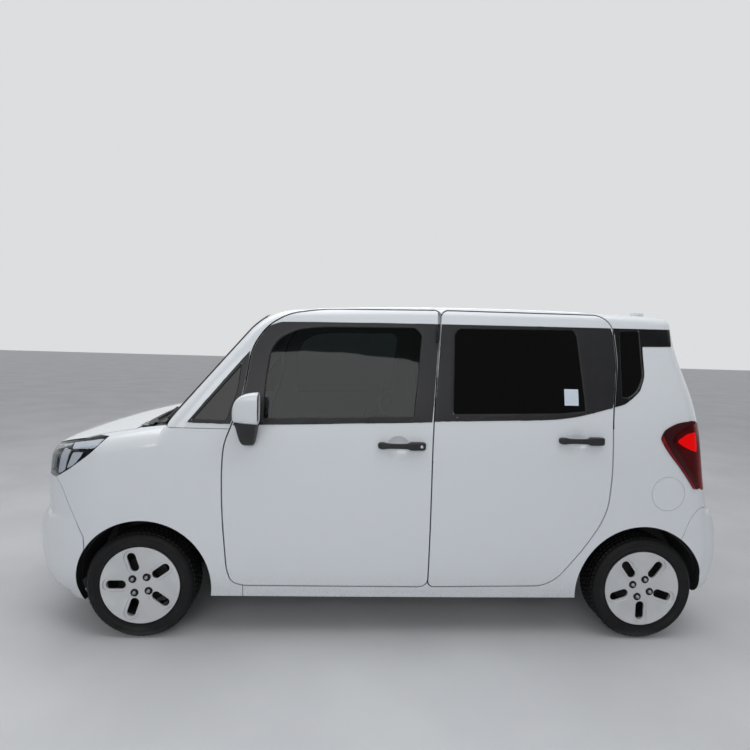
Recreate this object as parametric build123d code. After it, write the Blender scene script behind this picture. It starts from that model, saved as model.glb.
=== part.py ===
from build123d import *
import math
import os

os.makedirs("parts", exist_ok=True)

# City car. Millimetres, +X forward, +Y to the left side, +Z up, origin on the ground at mid length.
LENGTH, WIDTH, HEIGHT, WHEELBASE = 3595.0, 1595.0, 1700.0, 2520.0
FRONT_OVERHANG = 640.0
NOSE = LENGTH / 2
TAIL = -LENGTH / 2
FRONT_AXLE = NOSE - FRONT_OVERHANG
REAR_AXLE = FRONT_AXLE - WHEELBASE
HALF = WIDTH / 2

# Clearances: between moving pieces, between fixed panels, between seated pieces.
MOVE_GAP, PANEL_GAP, SEAT_GAP = 7.0, 3.0, 0.3

# Walls of the body.
DOOR_WALL, ROOF_WALL, BAY_WALL, BONNET_WALL = 58.0, 30.0, 30.0, 24.0
GLASS, GLASS_SET = 5.0, 6.0

# Wheels.
WHEEL_Z, TYRE_WIDTH, TRACK_HALF = 263.0, 165.0, 703.0
TYRE_R, RIM_SEAT_R, RIM_FLANGE_R = 263.0, 178.0, 195.0
ARCH_R = 330.0
FRONT_ARCH, REAR_ARCH = FRONT_AXLE - 10.0, REAR_AXLE + 13.0

# Heights along the side.
SILL_Z, DOOR_Z, BUMPER_Z, FLOOR_T = 205.0, 268.0, 690.0, 30.0
LOAD_FLOOR_Z = 560.0


def rounded(corners):
    """Edges of a closed polygon; each corner (a, b, share) is an arc over a share of its shorter side."""
    n = len(corners)
    at = [Vector(c[0], c[1]) for c in corners]
    cuts = []
    for i in range(n):
        before, here, after = at[i - 1], at[i], at[(i + 1) % n]
        reach = corners[i][2] * min((here - before).length, (after - here).length)
        if reach < 1e-6:
            cuts.append((here, None, here))
            continue
        u, v = (before - here).normalized(), (after - here).normalized()
        half = math.acos(u.dot(v)) / 2
        middle = here + (u + v).normalized() * (reach / math.cos(half) - reach * math.tan(half))
        cuts.append((here + u * reach, middle, here + v * reach))
    edges = []
    for i in range(n):
        first, middle, last = cuts[i]
        if middle is not None:
            edges.append(ThreePointArc(first, middle, last))
        if (cuts[(i + 1) % n][0] - last).length > 1e-5:
            edges.append(Line(last, cuts[(i + 1) % n][0]))
    return edges


def outline(corners, grow=0.0):
    face = make_face(rounded(corners))
    if grow:
        face = offset(face, amount=grow)
    return face


def side_prism(corners, y0, y1, grow=0.0):
    """Outline in (x, z), from y0 to y1."""
    return extrude(Plane.XZ.offset(-y1) * outline(corners, grow), amount=y1 - y0)


def front_prism(corners, x0, x1, grow=0.0):
    """Outline in (y, z), from x0 to x1."""
    return extrude(Plane.YZ.offset(x0) * outline(corners, grow), amount=x1 - x0)


def plan_prism(corners, z0, z1, grow=0.0):
    """Outline in (x, y), from z0 to z1."""
    return extrude(Plane.XY.offset(z0) * outline(corners, grow), amount=z1 - z0)


def block(x0, x1, y0, y1, z0, z1, r=0.0):
    b = Pos((x0 + x1) / 2, (y0 + y1) / 2, (z0 + z1) / 2) * Box(abs(x1 - x0), abs(y1 - y0), abs(z1 - z0))
    if r:
        b = fillet(b.edges(), r)
    return b


def rod(p, q, r):
    """Round bar from p to q."""
    p, q = Vector(*p), Vector(*q)
    return extrude(Plane(origin=p, z_dir=(q - p)) * Circle(r), amount=(q - p).length)


def other(shape):
    return mirror(shape, about=Plane.XZ)


def pair(shape):
    return Compound(children=[*shape.solids(), *other(shape).solids()])


def biggest(shape):
    return sorted(shape.solids(), key=lambda s: s.volume)[-1]


# The skin: plan outlines stacked in height.
# z, half width, nose x, tail x, extra front taper, wall
SKIN = [
    (150, 748, 1690, -1700, 0, DOOR_WALL),
    (300, 780, 1735, -1735, 0, DOOR_WALL),
    (620, HALF + 0.8, 1748, -1745, 0, DOOR_WALL),
    (850, HALF - 2, 1738, -1700, 0, DOOR_WALL),
    (1095, 775, 1690, -1672, 20, DOOR_WALL - 4),
    (1350, 724, 1640, -1605, 40, DOOR_WALL - 14),
    (1600, 664, 1600, -1548, 50, DOOR_WALL - 18),
    (1720, 634, 1590, -1525, 55, DOOR_WALL - 18),
]
# How far the curve of the nose falls short of its corner.
BOW = 1.84
# Bumper faces that stand out of the skin, in the same columns.
FRONT_BUMPER = [
    (122, 700, 1630, -900, 0, BAY_WALL),
    (160, 735, 1700, -900, 0, BAY_WALL),
    (215, 757, 1755, -900, 0, BAY_WALL),
    (300, 774, 1786, -900, 0, BAY_WALL),
    (410, 784, NOSE + BOW, -900, 0, BAY_WALL),
    (520, 789, NOSE - 3, -900, 0, BAY_WALL),
    (570, 790, NOSE - 22, -900, 0, BAY_WALL),
    (625, 790, NOSE - 66, -900, 0, BAY_WALL),
]
REAR_BUMPER = [
    (225, 740, 900, TAIL + 62, 0, BAY_WALL),
    (285, 764, 900, TAIL + 14, 0, BAY_WALL),
    (400, 780, 900, TAIL - 0.17, 0, BAY_WALL),
    (500, 787, 900, TAIL - 0.17, 0, BAY_WALL),
    (600, 790, 900, TAIL + 18, 0, BAY_WALL),
    (665, 790, 900, TAIL + 46, 0, BAY_WALL),
    (BUMPER_Z, 788, 900, TAIL + 72, 0, BAY_WALL),
]
WINDSCREEN_X, WINDSCREEN_Z, WINDSCREEN_DEG, WINDSCREEN_R = 1184.0, 1038.0, 48.7, 2920.0
ROOF_X, ROOF_R, ROOF_CROWN, HEADER_R = -650.0, 18000.0, 7000.0, 350.0
BONNET_X, BONNET_TOP, BONNET_R, BONNET_CROWN = 785.0, 1087.0, 2800.0, 8000.0
RAIL_R = 60.0


def plan_section(z, w, nose, tail, taper, inset):
    w, nose, tail = w - inset, nose - inset, tail + inset
    half = [
        (nose - 18, 360, 0.47),
        (nose - 75, w - 130, 0.47),
        (nose - 300, w - 12 - taper, 0.47),
        (1000, w - 6 - taper * 0.4, 0.47),
        (0, w, 0.47),
        (-1050 if tail < -1000 else -500, w - 4, 0.47),
        (tail + 16, w - 14, 0.25),
        (tail + 10, 380, 0.4),
    ]
    back = [(x, -y, s) for x, y, s in reversed(half)]
    return (Pos(0, 0, z) * make_face(rounded([(nose, 0, 0.47), *half, (tail, 0, 0.47), *back]))).face()


def skin(table, inset=0.0, walls=False):
    rows = [(*row[:5], inset + (row[5] if walls else 0)) for row in table]
    return loft([plan_section(*row) for row in rows])


def crowned(x, top, radius, crown, a0, a1, half=1000.0, depth=1200.0):
    """Solid under a surface of one radius along the car and another across it."""
    sag = crown - math.sqrt(crown**2 - half**2)
    edges = [
        ThreePointArc((-half, -sag), (0, 0), (half, -sag)),
        Line((half, -sag), (half, -depth)),
        Line((half, -depth), (-half, -depth)),
        Line((-half, -depth), (-half, -sag)),
    ]
    face = Plane(origin=(x, 0, top), x_dir=(0, 1, 0), z_dir=(1, 0, 0)).location * make_face(edges)
    axis = Axis((x, 0, top - radius), (0, 1, 0))
    return revolve(face.rotate(axis, a0), axis, a1 - a0)


def windscreen_plane(move=0.0):
    """Local x across the car, local z up the glass, local y across its thickness."""
    a = math.radians(WINDSCREEN_DEG)
    out = Vector(math.sin(a), 0, math.cos(a))
    foot = Vector(WINDSCREEN_X, 0, WINDSCREEN_Z) - out * move
    return Plane(origin=foot, x_dir=(0, 1, 0), z_dir=(-math.cos(a), 0, math.sin(a)))


def under_windscreen(move=0.0, half=1000.0, depth=6000.0):
    p = windscreen_plane(move)
    s = -1 if p.y_dir.X > 0 else 1
    sag = WINDSCREEN_R - math.sqrt(WINDSCREEN_R**2 - half**2)
    edges = [
        ThreePointArc((-half, s * sag), (0, 0), (half, s * sag)),
        Line((half, s * sag), (half, s * depth)),
        Line((half, s * depth), (-half, s * depth)),
        Line((-half, s * depth), (-half, s * sag)),
    ]
    return extrude(p.location * make_face(edges), amount=4500, both=True)


def under_top(roof=0.0, glass=0.0):
    """Solid under the roof and the windscreen, joined by the header's curve."""
    b = crowned(ROOF_X, HEIGHT - roof, ROOF_R - roof, ROOF_CROWN - roof, -8, 8, depth=1650)
    b = b & under_windscreen(glass)
    header = [e for e in b.edges() if e.center().Z > 1500 and abs(e.center().Y) < 5 and e.center().X > 300]
    return fillet(header, HEADER_R - roof)


def under_bonnet(down=0.0):
    return crowned(BONNET_X, BONNET_TOP - down, BONNET_R - down, BONNET_CROWN - down, 0, 26)


# Outer solid: skin under the roof, windscreen and bonnet, with rails and shoulders rounded.
SHOULDER_R = 110.0
BASE = skin(SKIN)
cabin_out = BASE & under_top()
rails = [
    e
    for e in cabin_out.edges()
    if e.center().Z > 1100 and abs(e.center().Y) > 450 and (e.center().Z > 1560 or e.center().X > 600)
]
cabin_out = fillet(rails, RAIL_R) & block(-1900, 1230, -900, 900, 100, 1750)
front_out = BASE & under_bonnet() & block(850, 1950, -900, 900, 100, 1200)
shoulders = [e for e in front_out.edges() if e.center().Z > 850 and e.center().X > 855 and e.length > 30]
front_out = fillet(shoulders, SHOULDER_R)
OUT = cabin_out + front_out

# Hollows: cabin and engine bay, with the firewall between them.
CABIN_END, BAY_START = 1085.0, 1115.0
CABIN_TAIL = -1700.0
WALLS = skin(SKIN, 0, True)
CABIN_BOX = block(CABIN_TAIL, CABIN_END, -900, 900, 100, 1750)
CABIN = WALLS & under_top(ROOF_WALL, 25) & CABIN_BOX
BAY_SKIN = skin(SKIN, BAY_WALL)
BAY = BAY_SKIN & under_bonnet(BONNET_WALL) & block(BAY_START, 1900, -900, 900, 100, 1100)


def arch(x, r, y0, y1):
    """Wheel arch cylinder, rounded below into straight sides."""
    return Pos(x, (y0 + y1) / 2, WHEEL_Z - 4) * Rot(90, 0, 0) * Cylinder(r, y1 - y0)


FRONT_INNER, REAR_INNER = 455.0, 555.0
ARCHES = [
    arch(x, ARCH_R, s * inner if s > 0 else -900, 900 if s > 0 else s * inner)
    for x, inner in ((FRONT_ARCH, FRONT_INNER), (REAR_ARCH, REAR_INNER))
    for s in (1, -1)
]
UNDER = block(REAR_ARCH - 250, FRONT_ARCH + 250, -900, 900, 0, SILL_Z)
SHELL = OUT - CABIN - BAY - ARCHES - UNDER

# Side view outlines: x, z, corner share.
FRONT_DOOR = [
    (660, DOOR_Z, 0.4),
    (-253.5, DOOR_Z, 0.05),
    (-253.5, 1095, 0.4),
    (-296, 1652, 0.06),
    (300, 1641, 0.4),
    (470, 1614, 0.45),
    (575, 1550, 0.45),
    (644, 1440, 0.4),
    (670, 1215, 0.4),
    (722, 1064, 0.45),
    (757, 970, 0.45),
    (763, 850, 0.45),
    (759, 640, 0.45),
    (737, 350, 0.45),
    (716, 285, 0.45),
]
REAR_DOOR = [
    (-260.5, DOOR_Z, 0.05),
    (-260.5, 1095, 0.4),
    (-303, 1652, 0.06),
    (-1130, 1653, 0.45),
    (-1188, 1600, 0.45),
    (-1200, 1420, 0.4),
    (-1165, 1160, 0.4),
    (-1163, 840, 0.4),
    (-1150, 690, 0.45),
    (-1116, 602, 0.45),
    (-1046, 490, 0.45),
    (-915, 318, 0.45),
    (-840, DOOR_Z + 8, 0.45),
]
FRONT_WINDOW = [
    (579, 1077, 0.1),
    (577, 1254, 0.3),
    (558, 1430, 0.4),
    (520, 1490, 0.45),
    (430, 1540, 0.45),
    (300, 1556, 0.3),
    (-165, 1565, 0.1),
    (-205, 1530, 0.4),
    (-181, 1273, 0.3),
    (-163, 1102, 0.1),
]
REAR_WINDOW = [
    (-352, 1120, 0.1),
    (-362, 1530, 0.1),
    (-385, 1568, 0.4),
    (-985, 1578, 0.05),
    (-1004, 1545, 0.4),
    (-1032, 1170, 0.05),
    (-1028, 1150, 0.3),
]
QUARTER_WINDOW = [
    (-1214, 1238, 0.15),
    (-1224, 1580, 0.1),
    (-1335, 1585, 0.15),
    (-1337, 1340, 0.4),
    (-1303, 1268, 0.45),
    (-1252, 1232, 0.4),
]
CORNER_WINDOW = [(922, 1080, 0.06), (690, 1366, 0.08), (699, 1240, 0.2), (748, 1080, 0.1)]
HEADLAMP = [
    (1322, 990, 0),
    (1390, 913, 0.3),
    (1500, 831, 0.3),
    (1579, 783, 0.1),
    (1950, 783, 0),
    (1950, 990, 0),
]
TAIL_LAMP = [
    (-1454, 1033, 0.1),
    (-1482, 1070, 0.45),
    (-1521, 1101, 0.45),
    (-1561, 1116, 0.45),
    (-1610, 1122, 0.1),
    (-1950, 1122, 0),
    (-1950, 780, 0),
    (-1636, 780, 0.05),
]
FRONT_COVER = [
    (1587, 779, 0.1),
    (1545, 735, 0.4),
    (1478, 600, 0.3),
    (1430, 500, 0),
    (1430, 90, 0),
    (1950, 90, 0),
    (1950, 779, 0),
]
REAR_COVER = [
    (-1950, BUMPER_Z, 0),
    (-1630, BUMPER_Z, 0.2),
    (-1590, 640, 0.4),
    (-1540, 500, 0.1),
    (-1540, 120, 0),
    (-1950, 120, 0),
]

# Bonnet, tailgate, roof and windscreen regions, each grown by a gap for its neighbours.
BONNET_HALF, BONNET_BACK, BONNET_LIP = 692.0, 1205.0, 868.0
TAILGATE_FRONT, TAILGATE_HALF = -1473.5, 585.0
LAMP_IN, ROOF_HALF = 430.0, 572.0


def bonnet_region(g=0.0):
    lip = [
        (-900, 985 - g, 0),
        (-BONNET_HALF - g, 972 - g, 0.1),
        (-600, 930 - g, 0.4),
        (-470, 886 - g, 0.4),
        (-360, BONNET_LIP - g, 0.4),
        (360, BONNET_LIP - g, 0.4),
        (470, 886 - g, 0.4),
        (600, 930 - g, 0.4),
        (BONNET_HALF + g, 972 - g, 0.1),
        (900, 985 - g, 0),
        (900, 1200, 0),
        (-900, 1200, 0),
    ]
    half = BONNET_HALF + g
    return front_prism(lip, BONNET_BACK - g, 1950) & block(1100, 1950, -half, half, 500, 1300)


def tailgate_region(g=0.0):
    half = TAILGATE_HALF + g
    rear = [
        (-half, BUMPER_Z + MOVE_GAP - g, 0.1),
        (half, BUMPER_Z + MOVE_GAP - g, 0.1),
        (half + 5, 1000, 0.4),
        (half, 1250, 0.4),
        (half - 25, 1560, 0.3),
        (half - 32, 1800, 0),
        (-half + 32, 1800, 0),
        (-half + 25, 1560, 0.3),
        (-half, 1250, 0.4),
        (-half - 5, 1000, 0.4),
    ]
    return front_prism(rear, -2000, TAILGATE_FRONT + g)


def windscreen_region(g=0.0):
    p = windscreen_plane()
    a = math.radians(WINDSCREEN_DEG)
    face = Plane(origin=p.origin, x_dir=(0, 1, 0), z_dir=(math.sin(a), 0, math.cos(a)))
    pane = [(-655, 28, 0.1), (655, 28, 0.1), (562, 805, 0.08), (-562, 805, 0.08)]
    return extrude(face.location * outline(pane, g), amount=200, both=True)


def roof_region(g=0.0):
    half = ROOF_HALF + g
    return block(TAILGATE_FRONT + MOVE_GAP - g, 640 + g, -half, half, 1500, 1800)


# Glass: a thin layer set below the skin.
OUTER_PANE = skin(SKIN, GLASS_SET)
INNER_PANE = skin(SKIN, GLASS_SET + GLASS)
SIDE_PANE = (OUTER_PANE & block(-1400, 1000, 500, 900, 1040, 1640)) - INNER_PANE
REAR_PANE = (OUTER_PANE & block(-1750, -1400, -520, 520, 1100, 1600)) - INNER_PANE


def pane(window):
    return SIDE_PANE & side_prism(window, 500, 900, -SEAT_GAP)


pieces = {}

# Fixed panels.
LEFT = SHELL & block(-1900, 1950, 300, 950, 50, 1800)
DOOR_IN = 612.0
door_cuts = side_prism(FRONT_DOOR, DOOR_IN - MOVE_GAP, 900, MOVE_GAP)
door_cuts = door_cuts + side_prism(REAR_DOOR, DOOR_IN - MOVE_GAP, 900, MOVE_GAP)
FENDER_REAR, FENDER_TOP = 664.0, 1043.0
# The cowl's black corner shows between the bonnet and the foot of the windscreen pillar.
COWL_END_X = 1040.0
COWL_HALF = 690.0
fender_box = block(FENDER_REAR, 1950, 600, 900, 100, FENDER_TOP)
frame = LEFT - door_cuts - block(FENDER_REAR - PANEL_GAP, 1950, 300, 900, 100, FENDER_TOP + PANEL_GAP)
frame = frame - roof_region(PANEL_GAP) - windscreen_region(SEAT_GAP) - tailgate_region(MOVE_GAP)
frame = frame - side_prism(TAIL_LAMP, 300, 900, SEAT_GAP) - side_prism(REAR_COVER, 300, 900, PANEL_GAP)
frame = frame - side_prism(QUARTER_WINDOW, 500, 900) - side_prism(CORNER_WINDOW, 500, 900)
frame = frame - block(COWL_END_X - PANEL_GAP, 1400, 300, 900, FENDER_TOP - 20, 1400)
frame = biggest(frame)

# Pillar between the doors, inside them, joined to the rail above and the sill below.
PILLAR_X0, PILLAR_X1 = -305.0, -215.0
pillar_box = block(PILLAR_X0, PILLAR_X1, 300, 900, SILL_Z + FLOOR_T + SEAT_GAP, 1690)
pillar_out = skin(SKIN, -10, True)
pillar_in = skin(SKIN, 42, True)
pillar = (pillar_out - pillar_in) & pillar_box & under_top(ROOF_WALL - 10, 10)
inside_doors = skin(SKIN, MOVE_GAP, True)
inside_doors = inside_doors & under_top(ROOF_WALL + MOVE_GAP, 60)
pillar = pillar - roof_region(PANEL_GAP)
pillar = pillar - ((door_cuts & block(-400, -100, 300, 900, 100, 1700)) - inside_doors)
frame = biggest(frame + pillar)

# Door hinges: a goose-neck arm and a pin on the body, in a notch of the door's front edge.
# name, pin x, pin y, heights
DOOR_HINGES = (
    ("front", 733.0, 780.0, (560.0, 880.0)),
    ("rear", -278.0, 784.0, (560.0, 880.0)),
)
ARM_T, ARM_H, DOOR_PIN, NECK_Y = 8.0, 32.0, 3.0, 722.0
# An arm's eye turns clear of the notch's outer wall. The fender's arms also reach forward.
EYE_GAP, ARM_REACH = 1.5, 62.0
DOOR_IN_FACE = HALF - DOOR_WALL


def door_pin(x, y, z, r, length):
    return Pos(x, y, z) * Cylinder(r, length)


def hinge_arm(x, y, z, reach):
    """Arm from the pin inward, then forward by reach."""
    half, top = ARM_T / 2, ARM_H / 2
    arm = block(x - half, x + half, NECK_Y, y, z - top, z + top) + door_pin(x, y, z, half, ARM_H)
    if reach:
        arm = arm + block(x - half, x + reach, NECK_Y, DOOR_IN_FACE + 4, z - top, z + top)
    return arm + door_pin(x, y, z, DOOR_PIN, ARM_H + 30)


for z in DOOR_HINGES[1][3]:
    frame = frame + hinge_arm(*DOOR_HINGES[1][1:3], z, 0)
frame = biggest(frame)

# Fuel flap: a round shut line in the left side only.
FLAP_X, FLAP_Z, FLAP_R, SHUT_LINE, SHUT_DEPTH = -1462.0, 761.0, 87.0, 2.4, 4.0
flap_cut = Pos(FLAP_X, 750, FLAP_Z) * Rot(90, 0, 0) * (Cylinder(FLAP_R, 200) - Cylinder(FLAP_R - SHUT_LINE, 200))
flap_cut = flap_cut - skin(SKIN, SHUT_DEPTH)
pieces["side_frames"] = Compound(children=[biggest(frame - flap_cut), other(frame)])

fender = (LEFT & fender_box) - windscreen_region(SEAT_GAP)
fender = fender - block(1000, BONNET_BACK, 300, COWL_HALF + SEAT_GAP, 100, 1200)
fender = fender - side_prism(FRONT_DOOR, 500, 900, MOVE_GAP) - side_prism(HEADLAMP, 300, 900, SEAT_GAP)
fender = biggest(fender - side_prism(FRONT_COVER, 300, 900, PANEL_GAP) - bonnet_region(MOVE_GAP))
for z in DOOR_HINGES[0][3]:
    fender = fender + hinge_arm(*DOOR_HINGES[0][1:3], z, ARM_REACH)
pieces["fenders"] = pair(fender)

roof = biggest((SHELL & roof_region()) - windscreen_region(SEAT_GAP))
GATE_X, GATE_Z, GATE_Y, GATE_PIN = TAILGATE_FRONT + MOVE_GAP / 2, 1684.0, 395.0, 4.0
for s in (1, -1):
    for y in (GATE_Y - 16, GATE_Y + 16):
        roof = roof + block(GATE_X + 4, GATE_X + 34, s * y - 5, s * y + 5, 1650, 1690)
        roof = roof + block(GATE_X - 6, GATE_X + 6, s * y - 5, s * y + 5, 1678, 1690)
    roof = roof + Pos(GATE_X, s * GATE_Y, GATE_Z) * Rot(90, 0, 0) * Cylinder(GATE_PIN, 42)
pieces["roof"] = roof
COWL_DOWN, COWL_WALL = 36.0, 18.0
cowl_box = block(1000, BONNET_BACK - MOVE_GAP, -COWL_HALF, COWL_HALF, 100, 1200)
shelf = (under_bonnet(COWL_DOWN) - under_bonnet(COWL_DOWN + COWL_WALL)) & BAY_SKIN
cowl = SHELL & block(1000, BAY_START, -COWL_HALF, COWL_HALF, 100, FENDER_TOP)
corner_box = block(COWL_END_X, BONNET_BACK - MOVE_GAP, -900, 900, FENDER_TOP + SEAT_GAP, 1300)
cowl = cowl + (SHELL & corner_box) - block(1115, 1300, -560, 560, FENDER_TOP - 40, 1300)
cowl = (cowl + (shelf & block(BAY_START - 5, 1300, -900, 900, 900, 1100) & cowl_box)) - windscreen_region(SEAT_GAP)
cowl = biggest(cowl)

# Bonnet with an ear on each side, bored for the cowl's hinge pins, which two lugs hold.
HINGE_X, HINGE_Z, PIN_R, PIN_FIT = BONNET_BACK - MOVE_GAP / 2, 1019.0, 5.0, 0.1
EAR_Y, EAR_T, LUG_T, EYE_R = 589.0, 22.0, 24.0, 9.0
bonnet = biggest((SHELL & block(1150, 1950, -720, 720, 800, 1200)) & bonnet_region())


def cross_bar(x, y, z, r, length):
    """Round bar across the car."""
    return Pos(x, y, z) * Rot(90, 0, 0) * Cylinder(r, length)


for s in (1, -1):
    y = s * EAR_Y
    reach = EAR_T / 2 + LUG_T + MOVE_GAP
    bonnet = bonnet - block(BONNET_BACK - 5, HINGE_X + EYE_R + 4, y - reach, y + reach, 950, 1100)
    bonnet = bonnet + block(HINGE_X - 9, HINGE_X + 24, y - EAR_T / 2, y + EAR_T / 2, HINGE_Z - 9, HINGE_Z + 9)
    bonnet = bonnet - cross_bar(HINGE_X, y, HINGE_Z, PIN_R + PIN_FIT, EAR_T + 20)
    for side in (1, -1):
        lug_y = y + side * (EAR_T / 2 + 1 + LUG_T / 2)
        cowl = cowl + block(HINGE_X - 26, HINGE_X - 2, lug_y - LUG_T / 2, lug_y + LUG_T / 2, 975, HINGE_Z + 7)
        cowl = cowl + cross_bar(HINGE_X, lug_y, HINGE_Z, EYE_R, LUG_T)
    cowl = cowl - block(HINGE_X - 14, HINGE_X + 30, y - EAR_T / 2 - 1, y + EAR_T / 2 + 1, 1001, 1100)
    cowl = cowl + cross_bar(HINGE_X, y, HINGE_Z, PIN_R, EAR_T + 2 * LUG_T)
pieces["bonnet"] = biggest(bonnet)
pieces["cowl"] = biggest(cowl)
lamp_side = block(1250, 1950, LAMP_IN, 900, 700, 1100)
headlamp = SHELL & side_prism(HEADLAMP, 300, 900) & lamp_side
pieces["headlamps"] = pair(biggest(headlamp - bonnet_region(MOVE_GAP)))

# Bumper covers, with the faces that stand out.
front_proud = skin(FRONT_BUMPER) & block(1330, 1950, -900, 900, 100, 640)
front_skin = (OUT & block(1330, 1950, -900, 900, 100, 1000)) + front_proud
front_skin = front_skin - BAY - ARCHES[:2]
cover = front_skin & side_prism(FRONT_COVER, -900, 900)
nose_half = LAMP_IN - PANEL_GAP
nose = front_skin & block(1500, 1950, -nose_half, nose_half, 770, 1000) - bonnet_region(MOVE_GAP)
GRILLE = [(-455, 235, 0.2), (455, 235, 0.2), (395, 430, 0.3), (-395, 430, 0.3)]
grille_hole = front_prism(GRILLE, 1500, 1950)
cover = cover + nose - grille_hole - block(1300, 1950, -640, 640, 100, 160)
pieces["front_bumper"] = biggest(cover)
GRILLE_SETBACK, SLATS = 22.0, 5
grille_face = (skin(FRONT_BUMPER, GRILLE_SETBACK) - skin(FRONT_BUMPER, GRILLE_SETBACK + 16))
grille = grille_face & front_prism(GRILLE, 1500, 1950, -SEAT_GAP)
SLOT_Z, SLOT_STEP, SLOT_H, SLOT_HALF, SLOT_NARROWS = 262.0, 36.0, 24.0, 425.0, 11.0
for i in range(SLATS):
    z = SLOT_Z + i * SLOT_STEP
    half = SLOT_HALF - SLOT_NARROWS * i
    grille = grille - block(1500, 1950, -half, half, z - SLOT_H / 2, z + SLOT_H / 2)
pieces["lower_grille"] = biggest(grille)

# Space round each wheel that the floor and the rear bumper leave free for the arch liners.
wheel_clear = [
    arch(x, ARCH_R + 0.5, s * inner if s > 0 else -900, 900 if s > 0 else s * inner)
    for x, inner in ((FRONT_ARCH, FRONT_INNER - 3), (REAR_ARCH, REAR_INNER - 7))
    for s in (1, -1)
]
rear_proud = skin(REAR_BUMPER) & block(-1950, -1500, -900, 900, 100, 720)
rear_skin = (OUT & block(-1950, -1400, -900, 900, 220, 720)) + rear_proud
rear_cover = (rear_skin - WALLS - wheel_clear[2:]) & side_prism(REAR_COVER, -900, 900)
pieces["rear_bumper"] = biggest(rear_cover)

tail_lamp = LEFT & side_prism(TAIL_LAMP, 300, 900) & block(-1900, -1400, TAILGATE_HALF, 900, 700, 1200)
pieces["tail_lamps"] = pair(biggest(tail_lamp - tailgate_region(MOVE_GAP)))

# Doors and their panes, with a dish behind each handle.
DISH_R, DISH_DEEP, DISH_SKIN = 62.0, 20.0, 8.0
dishes = {"front": (-87.0, 980.0), "rear": (-985.0, 1021.0)}
hinges = {row[0]: row[1:] for row in DOOR_HINGES}
for name, door, window, x0, x1 in (
    ("front", FRONT_DOOR, FRONT_WINDOW, -280, 780),
    ("rear", REAR_DOOR, REAR_WINDOW, -1300, -230),
):
    around = LEFT & block(x0, x1, 500, 900, 200, 1700)
    panel = biggest((around & side_prism(door, DOOR_IN, 900)) - side_prism(window, 500, 900))
    x, y, heights = hinges[name]
    for z in heights:
        top = ARM_H / 2 + MOVE_GAP
        notch_y = y + ARM_T / 2 + EYE_GAP
        panel = panel - block(x - ARM_T / 2 - MOVE_GAP, x + 50, 600, notch_y, z - top, z + top)
        panel = panel - door_pin(x, y, z, DOOR_PIN + PIN_FIT, ARM_H + 31)
    dish_x, dish_z = dishes[name]
    dish_r = (DISH_R**2 + DISH_DEEP**2) / (2 * DISH_DEEP)
    panel = biggest(panel - Pos(dish_x, HALF - DISH_SKIN + dish_r - DISH_DEEP, dish_z) * Sphere(dish_r))
    glass = biggest(pane(window))
    pieces[name + "_door_left"] = panel
    pieces[name + "_door_right"] = other(panel)
    pieces[name + "_glass_left"] = glass
    pieces[name + "_glass_right"] = other(glass)
pieces["side_glass"] = pair(Compound(children=[biggest(pane(QUARTER_WINDOW)), biggest(pane(CORNER_WINDOW))]))

# Windscreen.
screen_box = block(500, 1300, -720, 720, 1000, 1700)
screen = (OUT & screen_box & windscreen_region()) - under_top(GLASS, GLASS)
pieces["windscreen"] = biggest(screen)

# Tailgate and its glass.
gate = (SHELL & block(-1900, -1460, -700, 700, 600, 1750)) & tailgate_region()
REAR_GLASS = [(-500, 1130, 0.15), (500, 1130, 0.15), (470, 1560, 0.15), (-470, 1560, 0.15)]
gate = gate - front_prism(REAR_GLASS, -2000, -1400)
for s in (1, -1):
    y = s * GATE_Y
    gate = gate + block(GATE_X - 30, TAILGATE_FRONT - 0.5, y - 10, y + 10, 1655, 1690)
    gate = gate + block(TAILGATE_FRONT - 2, GATE_X + 6, y - 10, y + 10, 1678, 1690)
    gate = gate - Pos(GATE_X, y, GATE_Z) * Rot(90, 0, 0) * Cylinder(GATE_PIN + PIN_FIT, 20)
pieces["tailgate"] = biggest(gate)
pieces["tailgate_glass"] = biggest(REAR_PANE & front_prism(REAR_GLASS, -2000, -1400, -SEAT_GAP))

# Floor: flat pan, riser under the rear seat and load floor.
FIT = skin(SKIN, SEAT_GAP, True)
RISER_X = -1000.0
pan = FIT & block(RISER_X, CABIN_END - 40, -900, 900, SILL_Z, SILL_Z + FLOOR_T)
riser = FIT & block(RISER_X - 10, RISER_X, -900, 900, SILL_Z, LOAD_FLOOR_Z)
load = block(-1600, RISER_X, -REAR_INNER + 8, REAR_INNER - 8, LOAD_FLOOR_Z - 20, LOAD_FLOOR_Z)
pieces["floor"] = biggest((pan + riser + load) - wheel_clear)

# Arch liners: a band under each arch and an inner wall at the rear.
LINER = 5.0
KING_FOOT, KING_TOP, STRUT_R = (FRONT_AXLE, 675.0, 150.0), (FRONT_AXLE, 552.0, 690.0), 36.0


def on_kingpin(z):
    """Point of the steering axis at a height."""
    share = (z - KING_FOOT[2]) / (KING_TOP[2] - KING_FOOT[2])
    return (FRONT_AXLE, KING_FOOT[1] + share * (KING_TOP[1] - KING_FOOT[1]), z)


front_band = arch(FRONT_ARCH, ARCH_R - SEAT_GAP, FRONT_INNER, 900) - arch(FRONT_ARCH, ARCH_R - LINER, 400, 950)
front_band = front_band & BAY_SKIN & block(600, 1600, 400, 900, 250, 700)
rear_band = arch(REAR_ARCH, ARCH_R - SEAT_GAP, REAR_INNER - 6, 900) - arch(REAR_ARCH, ARCH_R - LINER, REAR_INNER, 950)
rear_band = rear_band & BAY_SKIN & block(-1750, -900, 500, 900, 250, 700)
rear_band = rear_band - block(REAR_AXLE - 60, REAR_AXLE + 60, 500, 600, 200, WHEEL_Z + 60)
front_band = front_band - rod(KING_FOOT, KING_TOP, STRUT_R + MOVE_GAP)
pieces["arch_liners"] = pair(Compound(children=[biggest(front_band), biggest(rear_band)]))

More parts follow.
